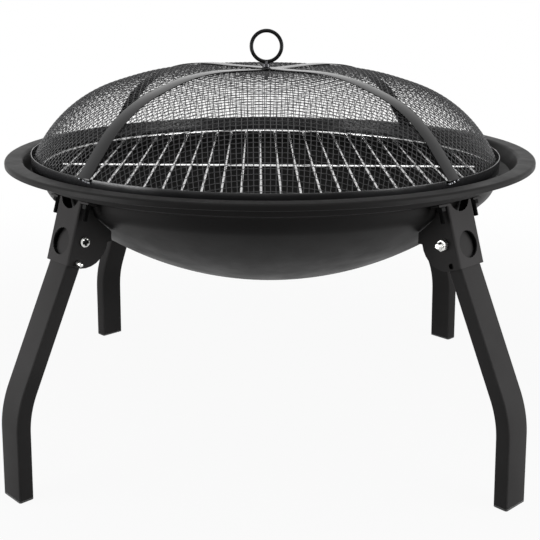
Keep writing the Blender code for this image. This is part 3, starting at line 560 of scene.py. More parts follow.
def enamel(name, colour, roughness, peel, gloss):
    """Baked paint: a slow drift of tone, an uneven dullness and a fine orange peel."""
    material, tree, shader, where = start_material(name)
    drift = between(tree, noise(tree, where, 9.0, 5.0), 0, 1)
    dark = tuple(c * 0.84 for c in colour)
    light = tuple(min(c * 1.18, 1) for c in colour)
    cloudy = noise(tree, where, 34.0, 6.0, 0.6)
    relief(tree, shader, noise(tree, where, 620.0, 2.0, 0.4), peel, 0.00025)
    set_inputs(tree, shader, {
        "Base Color": tint(tree, drift, dark, light),
        "Roughness": between(tree, cloudy, roughness - 0.05, roughness + 0.06),
        "Specular IOR Level": gloss})
    return material


def plated(name, colour, roughness, streaks, stretch=None):
    """Plated steel: faint clouding, drawing lines, small changes of gloss and painted shade in recesses."""
    material, tree, shader, where = start_material(name)
    cloud = between(tree, noise(tree, where, 55.0, 5.0), 0, 1)
    clouded = tint(tree, cloud, tuple(c * 0.86 for c in colour), colour)
    recess = add_node(tree, "Attribute", {}, attribute_name="recess")
    lines = noise(tree, where, 260.0, 3.0, 0.6, stretch)
    relief(tree, shader, lines, streaks, 0.00012)
    set_inputs(tree, shader, {
        "Metallic": 1.0,
        # painted shade: the colour is drawn toward near black where a point lies deep in a recess
        "Base Color": tint(tree, recess.outputs["Fac"], clouded, (0.004, 0.004, 0.004)),
        "Roughness": between(tree, lines, roughness * 0.8, roughness * 1.35)})
    return material


def spattered(name):
    """Weld metal: bright and scorched in small patches, and rough."""
    material, tree, shader, where = start_material(name)
    patches = between(tree, noise(tree, where, 700.0, 3.0, 0.6), 0, 1, (0.42, 0.58))
    relief(tree, shader, noise(tree, where, 1400.0, 2.0), 0.4, 0.0003)
    set_inputs(tree, shader, {
        "Metallic": 0.7,
        "Base Color": tint(tree, patches, (0.03, 0.03, 0.035), (0.75, 0.76, 0.8)),
        "Roughness": 0.35})
    return material


def moulded(name, colour, roughness):
    """Moulded plastic with a fine spark-eroded grain."""
    material, tree, shader, where = start_material(name)
    drift = between(tree, noise(tree, where, 30.0, 3.0), 0, 1)
    grain = noise(tree, where, 1500.0, 1.0)
    relief(tree, shader, grain, 0.25, 0.0002)
    set_inputs(tree, shader, {
        "Base Color": tint(tree, drift, colour, tuple(c * 1.5 for c in colour)),
        "Roughness": between(tree, grain, roughness - 0.06, roughness + 0.06)})
    return material


def make_finishes():
    """Makes every material once, from the finishes' settings."""
    colours = bpy.context.scene.fire_pit_finishes
    # Each paint's finish, material, colour, how many times that colour, roughness, orange peel and gloss. A
    # times above 1 is painted light and one below 1 is painted shade, on copies of one paint
    for finish, name, colour, times, roughness, peel, gloss in (
            ("paint", "baked_black_paint", colours.paint, 1.0, colours.paint_roughness, 0.10, 0.04),
            # painted light: the brackets and the legs are the dish's own paint made 2.9 and 2.0 times
            # lighter, for how light falls on them
            ("bracket", "bracket_paint_painted_light", colours.paint, 2.9, 0.50, 0.07, 0.0),
            ("leg", "leg_paint_painted_light", colours.paint, 2.0, 0.45, 0.08, 0.02),
            ("band", "band_paint", colours.wire_paint, 1.0, 0.20, 0.03, 0.5),
            # painted shade: the straps are the wire paint made four times darker
            ("strap", "strap_paint_painted_shade", colours.wire_paint, 0.25, 0.16, 0.02, 0.3),
            # painted light: the net is the wire paint made 1.6 times lighter
            ("net", "net_paint_painted_light", colours.wire_paint, 1.6, 0.38, 0.0, 0.4),
            # painted shade: the handle is the wire paint made four times darker
            ("handle", "handle_paint_painted_shade", colours.wire_paint, 0.25, 0.20, 0.02, 0.12),
            # near black with little gloss, much darker than the zinc of the pivot bolts
            ("black_screw", "near_black_steel", (0.003, 0.003, 0.003), 1.0, 0.30, 0.02, 0.03)):
        FINISHES[finish] = enamel(name, tuple(c * times for c in colour), roughness, peel, gloss)
    FINISHES["zinc"] = plated("zinc_plate", tuple(colours.zinc), 0.24, 0.10)
    FINISHES["dark_plate"] = plated("dark_plate", (0.085, 0.085, 0.09), 0.30, 0.10)
    FINISHES["weld"] = spattered("weld_metal")
    FINISHES["chrome"] = plated("chrome_plate", tuple(colours.chrome), 0.12, 0.03, (0.02, 1, 1))
    FINISHES["spring"] = plated("spring_steel", (0.45, 0.46, 0.48), 0.32, 0.12)
    FINISHES["plastic"] = moulded("cap_plastic", tuple(colours.plastic), 0.5)


# Shapes
def dish_surface():
    """The dish: its underside rounded at each corner, a second line a sheet higher, carried round Z."""
    sizes = bpy.context.scene.fire_pit_dish
    n = dish_numbers()
    edge = math.asin(DISH_RADIUS / n["ball"])
    t = np.linspace(0, BALL_SHARE, BALL_ROWS)[:, None] * edge
    ball = np.concatenate([n["ball"] * np.sin(t), n["centre"] - n["ball"] * np.cos(t)], axis=1)
    outer = sizes.rim_radius
    corners = [ball[-1], (DISH_RADIUS, n["top"]), (LEDGE_INNER, n["inner"]),
               (LEDGE_RADIUS, n["ledge"]), (outer - FLANGE_WIDTH, n["flange"]),
               (outer - sizes.sheet, n["flange"]), (outer - sizes.sheet, sizes.rim_height - LIP_DROP)]
    bends = round_corners(corners, DISH_BENDS, 8)
    under = np.concatenate([ball[:-1], bends])
    over = beside(under, sizes.sheet)
    under[0, 0] = 0
    over[0] = (0, over[0, 1])
    lip = (under[-1] + over[-1]) / 2
    lip[1] -= sizes.sheet * 0.25
    profile = np.concatenate([under, lip[None], over[::-1]])
    return grid(revolve(profile, sizes.sides))


def rounded_section(width, depth, corner, steps=5):
    """A rectangle with round corners, as (across the depth, across the width) points."""
    t = np.linspace(0, math.pi / 2, steps + 1)
    w = width / 2 - corner
    d = depth / 2 - corner
    arcs = []
    for k, (x, y) in enumerate(((d, w), (-d, w), (-d, -w), (d, -w))):
        arcs.append(np.stack([x + corner * np.cos(t + k * math.pi / 2),
                              y + corner * np.sin(t + k * math.pi / 2)], axis=1))
    return np.concatenate(arcs)


def leg_line(steps=22):
    """A leg's middle line: two straight runs with an arc at the knee, in the corner's XZ plane."""
    radius, height = pivot()
    face = radius + LEG_DEPTH / 2 / math.cos(LEG_SPLAY) + WEB_FALL * math.tan(LEG_SPLAY)
    to_web = (face + TOUCH - radius) * math.cos(WEB_LEAN) - WEB_FALL * math.sin(WEB_LEAN)
    head = math.sqrt((to_web - HEAD_CLEARANCE) ** 2 - (LEG_DEPTH / 2) ** 2)
    down = np.array([math.sin(LEG_SPLAY), -math.cos(LEG_SPLAY)])
    top = np.array([radius, height]) - down * head
    knee = np.array([radius, height]) + down * ((height - KNEE_HEIGHT) / math.cos(LEG_SPLAY))
    fall = KNEE_HEIGHT - CAP_PLATE - TOUCH
    foot = (knee[0] + fall * math.tan(FOOT_SPLAY), CAP_PLATE + TOUCH)
    return round_corners([top, knee, foot], [KNEE_BEND], steps)


def carried(line, across, section):
    """A section at each point of a line in the XZ plane: first across the line, second along Y."""
    flat = line[:, None] + across[:, None] * section[None, :, :1]
    width = np.broadcast_to(section[None, :, 1], flat.shape[:2])
    return np.stack([flat[..., 0], width, flat[..., 1]], axis=-1)


def leg_rows(section):
    """A section carried down the leg's line, square to it, with the last one cut level."""
    line = leg_line()
    run = np.gradient(line, axis=0)
    run /= np.linalg.norm(run, axis=1)[:, None]
    across = np.stack([-run[:, 1], run[:, 0]], axis=1)
    rows = carried(line, across, section)
    rows[-1, :, 0] = line[-1, 0] + section[:, 0] / across[-1, 0]
    rows[-1, :, 2] = line[-1, 1]
    return rows


def leg_surface(place):
    """A rectangular tube with round corners: outer rows down the leg, inner rows back up."""
    outer = leg_rows(rounded_section(LEG_WIDTH, LEG_DEPTH, LEG_CORNER))
    inner = leg_rows(rounded_section(LEG_WIDTH - 2 * LEG_WALL, LEG_DEPTH - 2 * LEG_WALL, LEG_CORNER * 0.5))
    return grid(moved(np.concatenate([outer, inner[::-1]]), place), wrap_rows=True)


def cap_surface(place):
    """A foot cap: sections stacked up from the sole, its edges eased, then the plug inside the tube."""
    line = leg_line()
    slope = math.tan(FOOT_SPLAY)
    gap = LEG_WALL + TOUCH
    ease = CAP_EASE
    rows = []
    # How much smaller than the tube each section is, its corner and its height
    for less, corner, height in (
            (2 * ease, LEG_CORNER - ease, 0.0), (0.3 * ease, LEG_CORNER, ease * 0.35),
            (0, LEG_CORNER, ease), (0, LEG_CORNER, CAP_PLATE - ease * 0.4),
            (ease * 0.4, LEG_CORNER, CAP_PLATE), (2 * gap, CAP_PLUG_CORNER, CAP_PLATE),
            (2 * gap, CAP_PLUG_CORNER, CAP_PLATE + CAP_PLUG)):
        section = rounded_section(LEG_WIDTH - less, LEG_DEPTH - less, corner)
        shift = line[-1, 0] - slope * (height - line[-1, 1])
        rows.append(np.stack([shift + section[:, 0], section[:, 1], np.full(len(section), height)], axis=1))
    return grid(moved(closed_rows(np.array(rows)), place))


def thread_rows(radius, height, end, pitch, lead, depth, taper):
    """A screw thread: a saw wave that climbs one pitch a turn and is thinner over a lead at its end."""
    angle = spread(SCREW_SIDES)
    wave = np.abs(((height[:, None] / pitch + angle / (2 * math.pi)) % 1) - 0.5) * 2
    full = np.clip((height - end) / lead, 0, 1)[:, None]
    return around(radius * (1 - depth * wave) * (1 - taper + taper * full), angle, height[:, None])


def slots_depth(x, y, width, reach):
    """How deep points lie in two crossed slots, 0 to 1, with a short slope at the edges."""
    def inside(distance, half):
        return 1 - np.clip((np.abs(distance) - half) / SLOT_EDGE, 0, 1)

    return np.maximum(inside(y, width) * inside(x, reach), inside(x, width) * inside(y, reach))


def screw_surface(shank, head, rise, length, thread, pitch, place):
    """A pan-head screw along -Z: a domed head with a cross recess, a plain neck and a thread.

    The recess sinks where either of two crossed slots covers a point."""
    radius = head / 2 * np.sin(np.linspace(0, 1, HEAD_ROWS) * math.pi / 2)
    dome = rise * (0.42 + 0.58 * np.sqrt(np.maximum(1 - (radius / (head / 2)) ** 2 * 0.93, 0)))
    top = around(radius[:, None], spread(SCREW_SIDES), dome[:, None])
    recess = slots_depth(top[..., 0], top[..., 1], head * 0.13, head * 0.30)
    top[..., 2] -= rise * 0.5 * recess
    rim = revolve(np.array([(head / 2, rise * 0.2), (head / 2 - 0.0001, 0.0), (shank / 2, 0.0),
                            (shank / 2, -(length - thread))]), SCREW_SIDES)
    height = -(length - thread) - np.linspace(0, thread, int(thread / pitch * 6))
    screw = thread_rows(shank / 2, height, -length, pitch, pitch * 0.8, 0.13, 0.14)
    rows = closed_rows(np.concatenate([top, rim, screw]))
    # how deep each head point lies in the cross recess, for the finish to paint as shade
    depth = np.zeros(rows.shape[:2])
    depth[:HEAD_ROWS + 1] = recess[[0, *range(HEAD_ROWS)]]
    points, quads = grid(moved(rows, place))
    return points, quads, depth.ravel()


def nut_surface(across, bore, rise, place):
    """A hexagon nut from Z = 0 down: its radius is its flat over a cosine, cut by a cone at each face."""
    angle = spread(72)
    hexagon = across / 2 / np.cos((angle + math.pi / 6) % (math.pi / 3) - math.pi / 6)
    washer_face = across / 2 * 0.97
    mouth = bore / 2 * 1.16
    drop = np.maximum(hexagon - across / 2 * 1.02, 0) * math.tan(math.radians(30)) + 0.0001
    rows = [around(radius, angle, height) for radius, height in (
        (bore / 2, -rise * 0.12), (mouth, 0.0), (washer_face, 0.0), (hexagon, -drop),
        (hexagon, drop - rise), (washer_face, -rise), (mouth, -rise), (bore / 2, -rise * 0.88))]
    return grid(moved(np.array(rows), place), wrap_rows=True)


def button_surface(place):
    """A lock button along +Y: a collar, a plain pin and a ball end, as a profile carried round its axis."""
    r = BUTTON / 2
    collar = LEG_WIDTH / 2 - LEG_WALL - TOUCH
    tip = BRACKET_WIDTH / 2 + BUTTON_PROUD
    t = np.linspace(0, math.pi / 2, 10)[:, None]
    end = np.concatenate([r * np.cos(t), tip - r + r * np.sin(t)], axis=1)
    back = collar - BUTTON_COLLAR_RISE
    profile = np.concatenate([[(0, back), (BUTTON_COLLAR - 0.0003, back), (BUTTON_COLLAR, back + 0.0002),
                               (BUTTON_COLLAR, collar), (r, collar)], end])
    return grid(moved(revolve(profile, 32), place @ matrix(x=-math.pi / 2)))


def band_surface(place):
    """The screen's rim: a strip folded up inside itself, with round bends and a step where its ends lap."""
    outer = BAND_RADIUS
    inner = outer - BAND_SHEET
    fold = inner - BAND_SLOT
    last = fold - BAND_SHEET
    edge = BAND_SHEET * 0.45 * 0.8
    corners = [(outer, BAND_HEIGHT / 2), (outer, BAND_HEIGHT), (inner, BAND_HEIGHT), (inner, BAND_SHEET),
               (fold, BAND_SHEET), (fold, BAND_HEM), (last, BAND_HEM), (last, 0), (outer, 0),
               (outer, BAND_HEIGHT / 2)]
    bends = [edge, edge, 0.0008, 0.0008, edge, edge, 0.0013, 0.0013]
    profile = round_corners(corners, bends, 5)[:-1]

    def seam(angle, points):
        """A step over the overlap at each of the seams, on the outer face alone."""
        step = np.zeros_like(angle)
        for middle in BAND_SEAMS:
            away = np.abs((angle - middle + math.pi) % (2 * math.pi) - math.pi)
            step = step + SEAM_RISE * (1 - np.clip((away - SEAM_HALF) / SEAM_EDGE, 0, 1))
        return np.where(points[:, :1] > outer - 0.0002, step, 0)

    return grid(revolve(profile, 480, place, seam), wrap_rows=True)


def dome_point(along):
    """Radius, height and slope of the net at a distance along it from the crown."""
    edge = math.asin(CROWN_EDGE / CROWN)
    crown_run = CROWN * edge
    slope = np.where(along <= crown_run, along / CROWN, edge + (along - crown_run) / KNUCKLE)
    crown = along <= crown_run
    radius = np.where(crown, CROWN * np.sin(slope), SHOULDER_MIDDLE + KNUCKLE * np.sin(slope))
    height = np.where(crown, CROWN_MIDDLE + CROWN * np.cos(slope) - dimple(radius),
                      NET_RIM_HEIGHT - KNUCKLE_FALL + KNUCKLE * np.cos(slope))
    return radius, height, slope


def net_run():
    """Length of the net from its crown to its rim, along the surface."""
    edge = math.asin(CROWN_EDGE / CROWN)
    return CROWN * edge + KNUCKLE * (math.acos(KNUCKLE_FALL / KNUCKLE) - edge)


def net_wires(place, direction):
    """Every wire of one direction of a plain weave, pressed over the dome.

    A point of the flat net keeps its bearing and its distance from the middle, measured along the dome. At
    each crossing the wire goes over or under by half its thickness, in turn."""
    sizes = bpy.context.scene.fire_pit_screen
    reach = net_run()
    count = int(reach / sizes.pitch - 0.5) * 2 + 2
    places = (np.arange(count) - (count - 1) / 2) * sizes.pitch
    wires = []
    for k, offset in enumerate(places):
        if abs(offset) >= reach * 0.995:
            continue
        half = math.sqrt(reach ** 2 - offset ** 2)
        inside = np.abs(places) < half - sizes.pitch * 0.3
        along = np.concatenate([[-half], places[inside], [half]])
        wave = np.concatenate([[0], np.where((np.nonzero(inside)[0] + k + direction) % 2, 1, -1), [0]])
        flat = np.stack([np.full(len(along), offset), along], axis=1)
        if direction:
            flat = flat[:, ::-1]
        away = np.linalg.norm(flat, axis=1)
        bearing = flat / away[:, None]
        radius, height, slope = dome_point(np.minimum(away, reach))
        normal = np.column_stack([bearing * np.sin(slope)[:, None], np.cos(slope)])
        path = np.column_stack([bearing * radius[:, None], height])
        path = path + normal * (wave * sizes.wire * 0.5)[:, None]
        wires.append(tube(path, sizes.wire / 2, 6, normal))
    return placed(joined(wires), place)


def strap_line(lift):
    """A strap's middle line from the crown out: a little over the dome, then straight to the band's top.

    It leaves the shoulder arc where the line to the band is its tangent, at the arc cosine of its radius over
    the distance from its middle. Its end lies on the band's outside."""
    proud = NET_SOLID_WIRE / 2 + TOUCH + STRAP_SHEET / 2
    outside = BAND_RADIUS + TOUCH + STRAP_SHEET / 2
    arc = KNUCKLE + proud
    way = (outside - SHOULDER_MIDDLE, BAND_HEIGHT - NET_RIM_HEIGHT + KNUCKLE_FALL)
    bearing = math.atan2(way[1], way[0]) + math.acos(arc / math.hypot(*way))
    leave = SHOULDER_MIDDLE + arc * math.cos(bearing)
    flat = STRAP_WIDTH / 2 + 0.001
    low = STRAP_LOW
    radius = np.concatenate([np.linspace(0, flat, 3), np.linspace(flat, low, 6)[1:],
                             low + (leave - low) * np.sin(np.linspace(0, math.pi / 2, 36))[1:]])
    height = dome_height(radius, proud) + lift * np.clip((low - radius) / (low - flat), 0, 1)
    end = [(radius[-1], height[-1]), (outside, BAND_HEIGHT), (outside, BAND_HEIGHT - STRAP_END)]
    over = round_corners(end, [STRAP_BEND], 4)
    return np.concatenate([np.stack([radius, height], axis=1), over[1:]])


def strap_surface(lift, place):
    """A flat strap with eased edges: a thin rounded section carried along its line, across the dome."""
    half = strap_line(lift)
    line = np.concatenate([half[:0:-1] * (-1, 1), half])
    over = beside(line, 1.0) - line
    section = rounded_section(STRAP_WIDTH, STRAP_SHEET, STRAP_SHEET * 0.32, 3)
    return grid(moved(closed_rows(carried(line, over, section)), place))


def weld_surface(spots, size, place):
    """Weld beads: balls flattened against what they join, their radius rippled by sines."""
    u = np.linspace(0, math.pi, 13)[:, None]
    v = spread(20)[None]
    parts = []
    for k, (spot, normal) in enumerate(spots):
        normal = np.asarray(normal, float) / np.linalg.norm(normal)
        side = np.cross(normal, (0.0, 0.0, 1.0))
        side /= np.linalg.norm(side)
        third = np.cross(normal, side)
        ripple = 1 + 0.10 * np.sin(3 * v + k) * np.sin(u) + 0.07 * np.sin(5 * u + 2 * v + 2 * k) * np.sin(u)
        out = np.cos(u) * ripple * size[0]
        along = np.sin(u) * np.cos(v) * ripple * size[1]
        up = np.sin(u) * np.sin(v) * ripple * size[2]
        parts.append(grid(np.asarray(spot) + out[..., None] * normal + along[..., None] * side
                          + up[..., None] * third))
    return placed(joined(parts), place)


def collar_seat():
    """Height of the upper strap's outer face at the crown."""
    return float(dome_height(0, NET_SOLID_WIRE / 2 + TOUCH)) + STRAP_SHEET + CROSS_LIFT + TOUCH


def ring_surface(place):
    """The ring handle: a circle of circles that stands on its collar."""
    ring_radius = bpy.context.scene.fire_pit_screen.ring_radius
    middle = collar_seat() + COLLAR_RISE + STUD_NECK + RING_RADIUS + RING_WIRE / 2 - WELD
    angle = spread(120)
    height = middle + ring_radius * np.sin(angle)
    path = np.stack([ring_radius * np.cos(angle), np.zeros(120), height], axis=1)
    return placed(tube(path, RING_WIRE / 2, 24, (0, 1, 0), closed=True), place)


def net_underside():
    """Height of the washer's upper face, under the net at the crown."""
    return float(dome_height(0, -NET_SOLID_WIRE / 2)) - TOUCH


def stud_surface(place):
    """A threaded stud under a flared collar and a neck for the ring."""
    seat = collar_seat()
    top = seat + COLLAR_RISE
    nut_end = net_underside() - 2 * TOUCH - HANDLE_WASHER_RISE - HANDLE_NUT_RISE
    low = nut_end - STUD_END
    height = np.linspace(low, seat - 0.0004, 90)
    thread = thread_rows(STUD / 2, height, low, STUD_PITCH, 0.0006, 0.12, 0.15)
    r = COLLAR / 2
    neck = STUD / 2 + 0.0002
    flare = [(r - 0.0004, seat), (r, seat + 0.0003), (r, top - 0.0005), (r - 0.0003, top - 0.0002),
             (r - 0.0014, top), (neck + 0.0004, top + 0.0003), (neck, top + 0.0010),
             (neck, top + STUD_NECK + RING_WIRE / 2)]
    return placed(grid(closed_rows(np.concatenate([thread, revolve(np.array(flare), SCREW_SIDES)]))), place)


def grate_surface(place):
    """The grate: a ring, parallel rods cut to it and one cross wire under them, each a round wire."""
    sizes = bpy.context.scene.fire_pit_grate
    parts = [tube(around(GRATE_RADIUS, spread(240), 0.0), GRATE_RING / 2, 18, (0, 0, 1), closed=True)]
    for k in range(ROD_COUNT):
        x = (k - (ROD_COUNT - 1) / 2) * sizes.pitch
        y = math.sqrt(GRATE_RADIUS ** 2 - x ** 2) - sizes.rod * 0.2
        path = np.stack([np.full(25, x), np.linspace(-y, y, 25), np.full(25, -ROD_SINK)], axis=1)
        parts.append(tube(path, sizes.rod / 2, 16, (0, 0, 1), round_ends=3))
    span = ROD_COUNT / 2 * sizes.pitch
    low = -ROD_SINK - sizes.rod / 2 - GRATE_CROSS / 2 + WELD
    path = np.stack([np.linspace(-span, span, 49), np.zeros(49), np.full(49, low)], axis=1)
    parts.append(tube(path, GRATE_CROSS / 2, 18, (0, 0, 1)))
    return placed(joined(parts), place)


def bowl_bolt_places():
    """The eight places through the ledge: name, number and matrix, with Z = 0 on the ledge's upper face."""
    for name, azimuth in CORNERS.items():
        for number, turn in ((1, -EAR_BOLT_TURN), (2, EAR_BOLT_TURN)):
            angle = math.radians(azimuth) + turn
            spot = around(EAR_BOLT_RADIUS, angle, ledge_over(EAR_BOLT_RADIUS))
            yield name, number, matrix(spot, y=-LEDGE_SLOPE, z=angle)


# Operators
class FIREPIT_OT_dish(bpy.types.Operator):
    """Make the pressed dish"""

    bl_idname = "firepit.dish"
    bl_label = "Dish"

    def execute(self, context):
        build("dish", dish_surface(), "paint", "dish", ["fire_bowl"], 50.0)
        return {"FINISHED"}


class FIREPIT_OT_brackets(bpy.types.Operator):
    """Paint the brackets and the leaf springs"""

    bl_idname = "firepit.brackets"
    bl_label = "Brackets"

    def execute(self, context):
        for name in CORNERS:
            for node, finish in ((f"{name}_bracket", "bracket"), (f"{name}_lock_spring", "spring")):
                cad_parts[node].data.materials.clear()
                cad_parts[node].data.materials.append(FINISHES[finish])
        return {"FINISHED"}


class FIREPIT_OT_legs(bpy.types.Operator):
    """Make the bent tube legs, their caps and their lock buttons"""

    bl_idname = "firepit.legs"
    bl_label = "Legs"

    def execute(self, context):
        radius, height = pivot()
        lock = (radius + LOCK_REACH * math.sin(LEG_SPLAY), 0, height - LOCK_REACH * math.cos(LEG_SPLAY))
        for name, azimuth in CORNERS.items():
            place = matrix(z=math.radians(azimuth))
            body = f"{name}_leg_assembly"
            build(f"{name}_tube", leg_surface(place), "leg", body, [f"{name}_leg"])
            build(f"{name}_cap", cap_surface(place), "plastic", body, [f"{name}_foot_cap"])
            button = button_surface(place @ matrix(lock))
            build(f"{name}_button", button, "zinc", f"{name}_button", [f"{name}_lock_button"])
        return {"FINISHED"}


class FIREPIT_OT_fasteners(bpy.types.Operator):
    """Make the bolts and nuts of the brackets"""

    bl_idname = "firepit.fasteners"
    bl_label = "Fasteners"

    def execute(self, context):
        radius, height = pivot()
        face = BRACKET_WIDTH / 2 + TOUCH
        length = BRACKET_WIDTH + 3 * TOUCH + PIVOT_NUT_RISE + PIVOT_BOLT_END
        for name, azimuth in CORNERS.items():
            corner = matrix(z=math.radians(azimuth))
            head = corner @ matrix((radius, face, height), x=-math.pi / 2)
            nut = corner @ matrix((radius, -face, height), x=-math.pi / 2)
            screw = screw_surface(
                PIVOT_SHANK, PIVOT_HEAD, PIVOT_HEAD_RISE, length, PIVOT_THREAD, PIVOT_PITCH, head)
            build(f"{name}_pivot_screw", screw, "zinc", "dish", [f"{name}_pivot_bolt"])
            hexagon = nut_surface(PIVOT_NUT, PIVOT_NUT_BORE, PIVOT_NUT_RISE, nut)
            build(f"{name}_pivot_hexagon", hexagon, "zinc", "dish", [f"{name}_pivot_nut"])
        sheet = context.scene.fire_pit_dish.sheet
        nut_top = -sheet - 3 * TOUCH - BRACKET_SHEET
        length = sheet + BRACKET_SHEET + 4 * TOUCH + BOWL_NUT_RISE + BOWL_BOLT_END
        for name, number, place in bowl_bolt_places():
            head = place @ matrix((0, 0, TOUCH))
            screw = screw_surface(
                BOWL_SHANK, BOWL_HEAD, BOWL_HEAD_RISE, length, BOWL_THREAD, BOWL_PITCH, head)
            build(f"{name}_ledge_screw_{number}", screw, "black_screw", "dish",
                  [f"{name}_bracket_bolt_{number}"])
            hexagon = nut_surface(BOWL_NUT, BOWL_NUT_BORE, BOWL_NUT_RISE, place @ matrix((0, 0, nut_top)))
            build(f"{name}_ledge_hexagon_{number}", hexagon, "black_screw", "dish",
                  [f"{name}_bracket_nut_{number}"])
        return {"FINISHED"}


class FIREPIT_OT_grate(bpy.types.Operator):
    """Make the cooking grate"""

    bl_idname = "firepit.grate"
    bl_label = "Grate"

    def execute(self, context):
        wires = grate_surface(grate_seat(TOP_TURN))
        build("grate_wires", wires, "chrome", "grate", ["cooking_grate"], 50.0)
        return {"FINISHED"}


class FIREPIT_OT_screen(bpy.types.Operator):
    """Make the woven net, its band and its straps"""

    bl_idname = "firepit.screen"
    bl_label = "Spark screen"

    def execute(self, context):
        place = screen_seat(TOP_TURN)
        build("net_one_way", net_wires(place, 0), "net", "screen", ["screen_mesh"], 80.0)
        build("net_other_way", net_wires(place, 1), "net", "screen", [], 80.0)
        build("band", band_surface(place), "band", "screen", ["screen_band"], 50.0)
        quarter = math.radians(45)
        low = BAND_HEIGHT - STRAP_END
        for label, turn, lift in (("lower", TOP_TURN + quarter + LOWER_STRAP_TURN, 0.0),
                                  ("upper", TOP_TURN - quarter, CROSS_LIFT)):
            seat = screen_seat(turn) @ matrix((0, -STRAP_ASIDE, 0))
            strap = strap_surface(lift, seat)
            build(f"strap_{label}", strap, "strap", "screen", [f"screen_strap_{label}"])
            spots = []
            for side in (-1, 1):
                for y in WELD_SPOTS:
                    spots.append(((side * (BAND_RADIUS + 0.0006), y, low + 0.15 * y), (side, 0, 0)))
            welds = weld_surface(spots, WELD_BEAD, seat)
            build(f"strap_{label}_welds", welds, "weld", "screen", [], 60.0)
        return {"FINISHED"}


class FIREPIT_OT_handle(bpy.types.Operator):
    """Make the ring handle, its washer and its nut"""

    bl_idname = "firepit.handle"
    bl_label = "Handle"

    def execute(self, context):
        place = screen_seat(TOP_TURN) @ matrix((0, -STRAP_ASIDE * math.sqrt(2), 0))
        build("handle_ring", ring_surface(place), "handle", "screen", ["ring_handle"])
        build("handle_stud", stud_surface(place), "dark_plate", "screen", [])
        top = net_underside()
        low = top - HANDLE_WASHER_RISE
        r = HANDLE_WASHER / 2
        bore = HANDLE_WASHER_BORE / 2
        ease = 0.0002
        profile = np.array([(r, low + ease), (r, top - ease), (r - ease, top), (bore, top), (bore, low),
                            (r - ease, low)])
        washer = grid(revolve(profile, 64, place), wrap_rows=True)
        build("washer", washer, "black_screw", "screen", ["handle_washer"])
        seat = place @ matrix((0, 0, low - TOUCH))
        nut = nut_surface(HANDLE_NUT, HANDLE_NUT_BORE, HANDLE_NUT_RISE, seat)
        build("nut", nut, "black_screw", "screen", ["handle_nut"])
        return {"FINISHED"}


class FIREPIT_OT_stage(bpy.types.Operator):
    """Make the floor, the background, the lamps and the camera"""

    bl_idname = "firepit.stage"
    bl_label = "Stage"

    def execute(self, context):
        settings = context.scene.fire_pit_stage
        floor_mesh = bpy.data.meshes.new("floor")
        ends = ((-1, -1), (1, -1), (1, 1), (-1, 1))
        spots = [(x * FLOOR_REACH, y * FLOOR_REACH, -FLOOR_FALL) for x, y in ends]
        floor_mesh.from_pydata(spots, [], [(0, 1, 2, 3)])
        floor = bpy.data.objects.new("floor", floor_mesh)
        context.scene.collection.objects.link(floor)
        floor_mesh.materials.append(white_floor())
        white_world(context.scene)
        lamp("key_lamp", (0.0, -0.25, 2.3), 2.2, settings.key_power)
        lamp("left_lamp", (-0.75, -0.4, 0.3), 0.5, settings.side_power)
        lamp("right_lamp", (0.75, -0.4, 0.3), 0.5, settings.side_power)
        camera_data = bpy.data.cameras.new("camera")
        camera_data.sensor_width = 36
        camera_data.lens = settings.lens
        camera = bpy.data.objects.new("camera", camera_data)
        camera.location = settings.camera
        camera.rotation_euler = (math.pi / 2 - settings.camera_down, 0, settings.camera_turn)
        context.scene.collection.objects.link(camera)
        context.scene.camera = camera
        context.scene.view_settings.view_transform = "Standard"
        return {"FINISHED"}


def seen_directly(tree):
    """1 for rays from the camera, and for mirrored and clear ones, else 0."""
    path = add_node(tree, "LightPath", {})
    total = path.outputs["Is Camera Ray"]
    for other in ("Is Glossy Ray", "Is Transmission Ray"):
        inputs = {0: total, 1: path.outputs[other]}
        total = add_node(tree, "Math", inputs, operation="MAXIMUM").outputs[0]
    return total


def white_floor():
    """A matt white floor that looks like the background, but for the object's shadow.

    Its glow's share rises smoothly with the distance from the middle, until it is all of it."""
    material, tree, shader, where = start_material("white_floor")
    set_inputs(tree, shader, {"Base Color": (0.3, 0.3, 0.3, 1), "Roughness": 1.0, "Specular IOR Level": 0.0})
    away = add_node(tree, "VectorMath", {0: where}, operation="LENGTH")
    inputs = {"Value": away.outputs["Value"], "From Min": 0.3, "From Max": 1.3, "To Min": 0.94, "To Max": 1.0}
    glow_share = add_node(tree, "MapRange", inputs, interpolation_type="SMOOTHSTEP")
    inputs = {0: seen_directly(tree), 1: glow_share.outputs["Result"]}
    share = add_node(tree, "Math", inputs, operation="MULTIPLY")
    glow = add_node(tree, "Emission", {})
    inputs = {"Fac": share.outputs[0], 1: shader.outputs["BSDF"], 2: glow.outputs["Emission"]}
    mix = add_node(tree, "MixShader", inputs)
    set_inputs(tree, tree.nodes["Material Output"], {"Surface": mix.outputs["Shader"]})
    return material


def white_world(scene):
    """White where it is seen, and a softer light on the object."""
    world = bpy.data.worlds.new("studio")
    world.use_nodes = True
    scene.world = world
    tree = world.node_tree
    strength = add_node(tree, "MapRange", {"Value": seen_directly(tree), "To Min": 0.03, "To Max": 1.0})
    inputs = {"Color": (1, 1, 1, 1), "Strength": strength.outputs["Result"]}
    set_inputs(tree, tree.nodes["Background"], inputs)


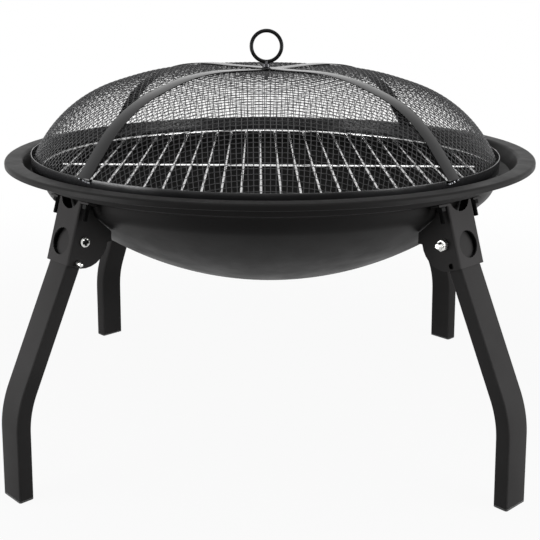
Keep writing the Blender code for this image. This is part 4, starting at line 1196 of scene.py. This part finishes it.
def lamp(name, spot, size, power):
    """A square area lamp that looks at the middle of the object."""
    data = bpy.data.lights.new(name, "AREA")
    data.size = size
    data.energy = power
    item = bpy.data.objects.new(name, data)
    item.location = spot
    aim = np.asarray(LAMP_TARGET, float) - np.asarray(spot, float)
    flat = math.hypot(aim[0], aim[1])
    item.rotation_euler = (math.atan2(flat, -aim[2]), 0, math.atan2(-aim[0], aim[1]))
    bpy.context.scene.collection.objects.link(item)


class FIREPIT_PT_panel(bpy.types.Panel):
    """Everything that the fire pit is made of"""

    bl_label = "Fire pit"
    bl_idname = "FIREPIT_PT_panel"
    bl_space_type = "VIEW_3D"
    bl_region_type = "UI"
    bl_category = "Fire pit"

    def draw(self, context):
        for name in SETTINGS:
            group = getattr(context.scene, name)
            box = self.layout.box()
            for key in group.bl_rna.properties.keys():
                if key not in ("rna_type", "name"):
                    box.prop(group, key)
        for operator in OPERATORS:
            self.layout.operator(operator.bl_idname)


SETTINGS = {
    "fire_pit_dish": FirePitDish,
    "fire_pit_screen": FirePitScreen,
    "fire_pit_grate": FirePitGrate,
    "fire_pit_finishes": FirePitFinishes,
    "fire_pit_stage": FirePitStage,
}
OPERATORS = (FIREPIT_OT_dish, FIREPIT_OT_brackets, FIREPIT_OT_legs, FIREPIT_OT_fasteners, FIREPIT_OT_grate,
             FIREPIT_OT_screen, FIREPIT_OT_handle, FIREPIT_OT_stage)


def register():
    """Adds the settings, the operators and the panel."""
    for name, group in SETTINGS.items():
        bpy.utils.register_class(group)
        setattr(bpy.types.Scene, name, bpy.props.PointerProperty(type=group))
    for item in (*OPERATORS, FIREPIT_PT_panel):
        bpy.utils.register_class(item)


def unregister():
    """Takes them away again."""
    for item in (FIREPIT_PT_panel, *reversed(OPERATORS)):
        bpy.utils.unregister_class(item)
    for name, group in reversed(SETTINGS.items()):
        delattr(bpy.types.Scene, name)
        bpy.utils.unregister_class(group)


def main():
    """Makes the whole fire pit."""
    register()
    make_finishes()
    bpy.ops.firepit.dish()
    bpy.ops.firepit.brackets()
    bpy.ops.firepit.legs()
    bpy.ops.firepit.fasteners()
    bpy.ops.firepit.grate()
    bpy.ops.firepit.screen()
    bpy.ops.firepit.handle()
    bpy.ops.firepit.stage()


if __name__ == "__main__":
    main()
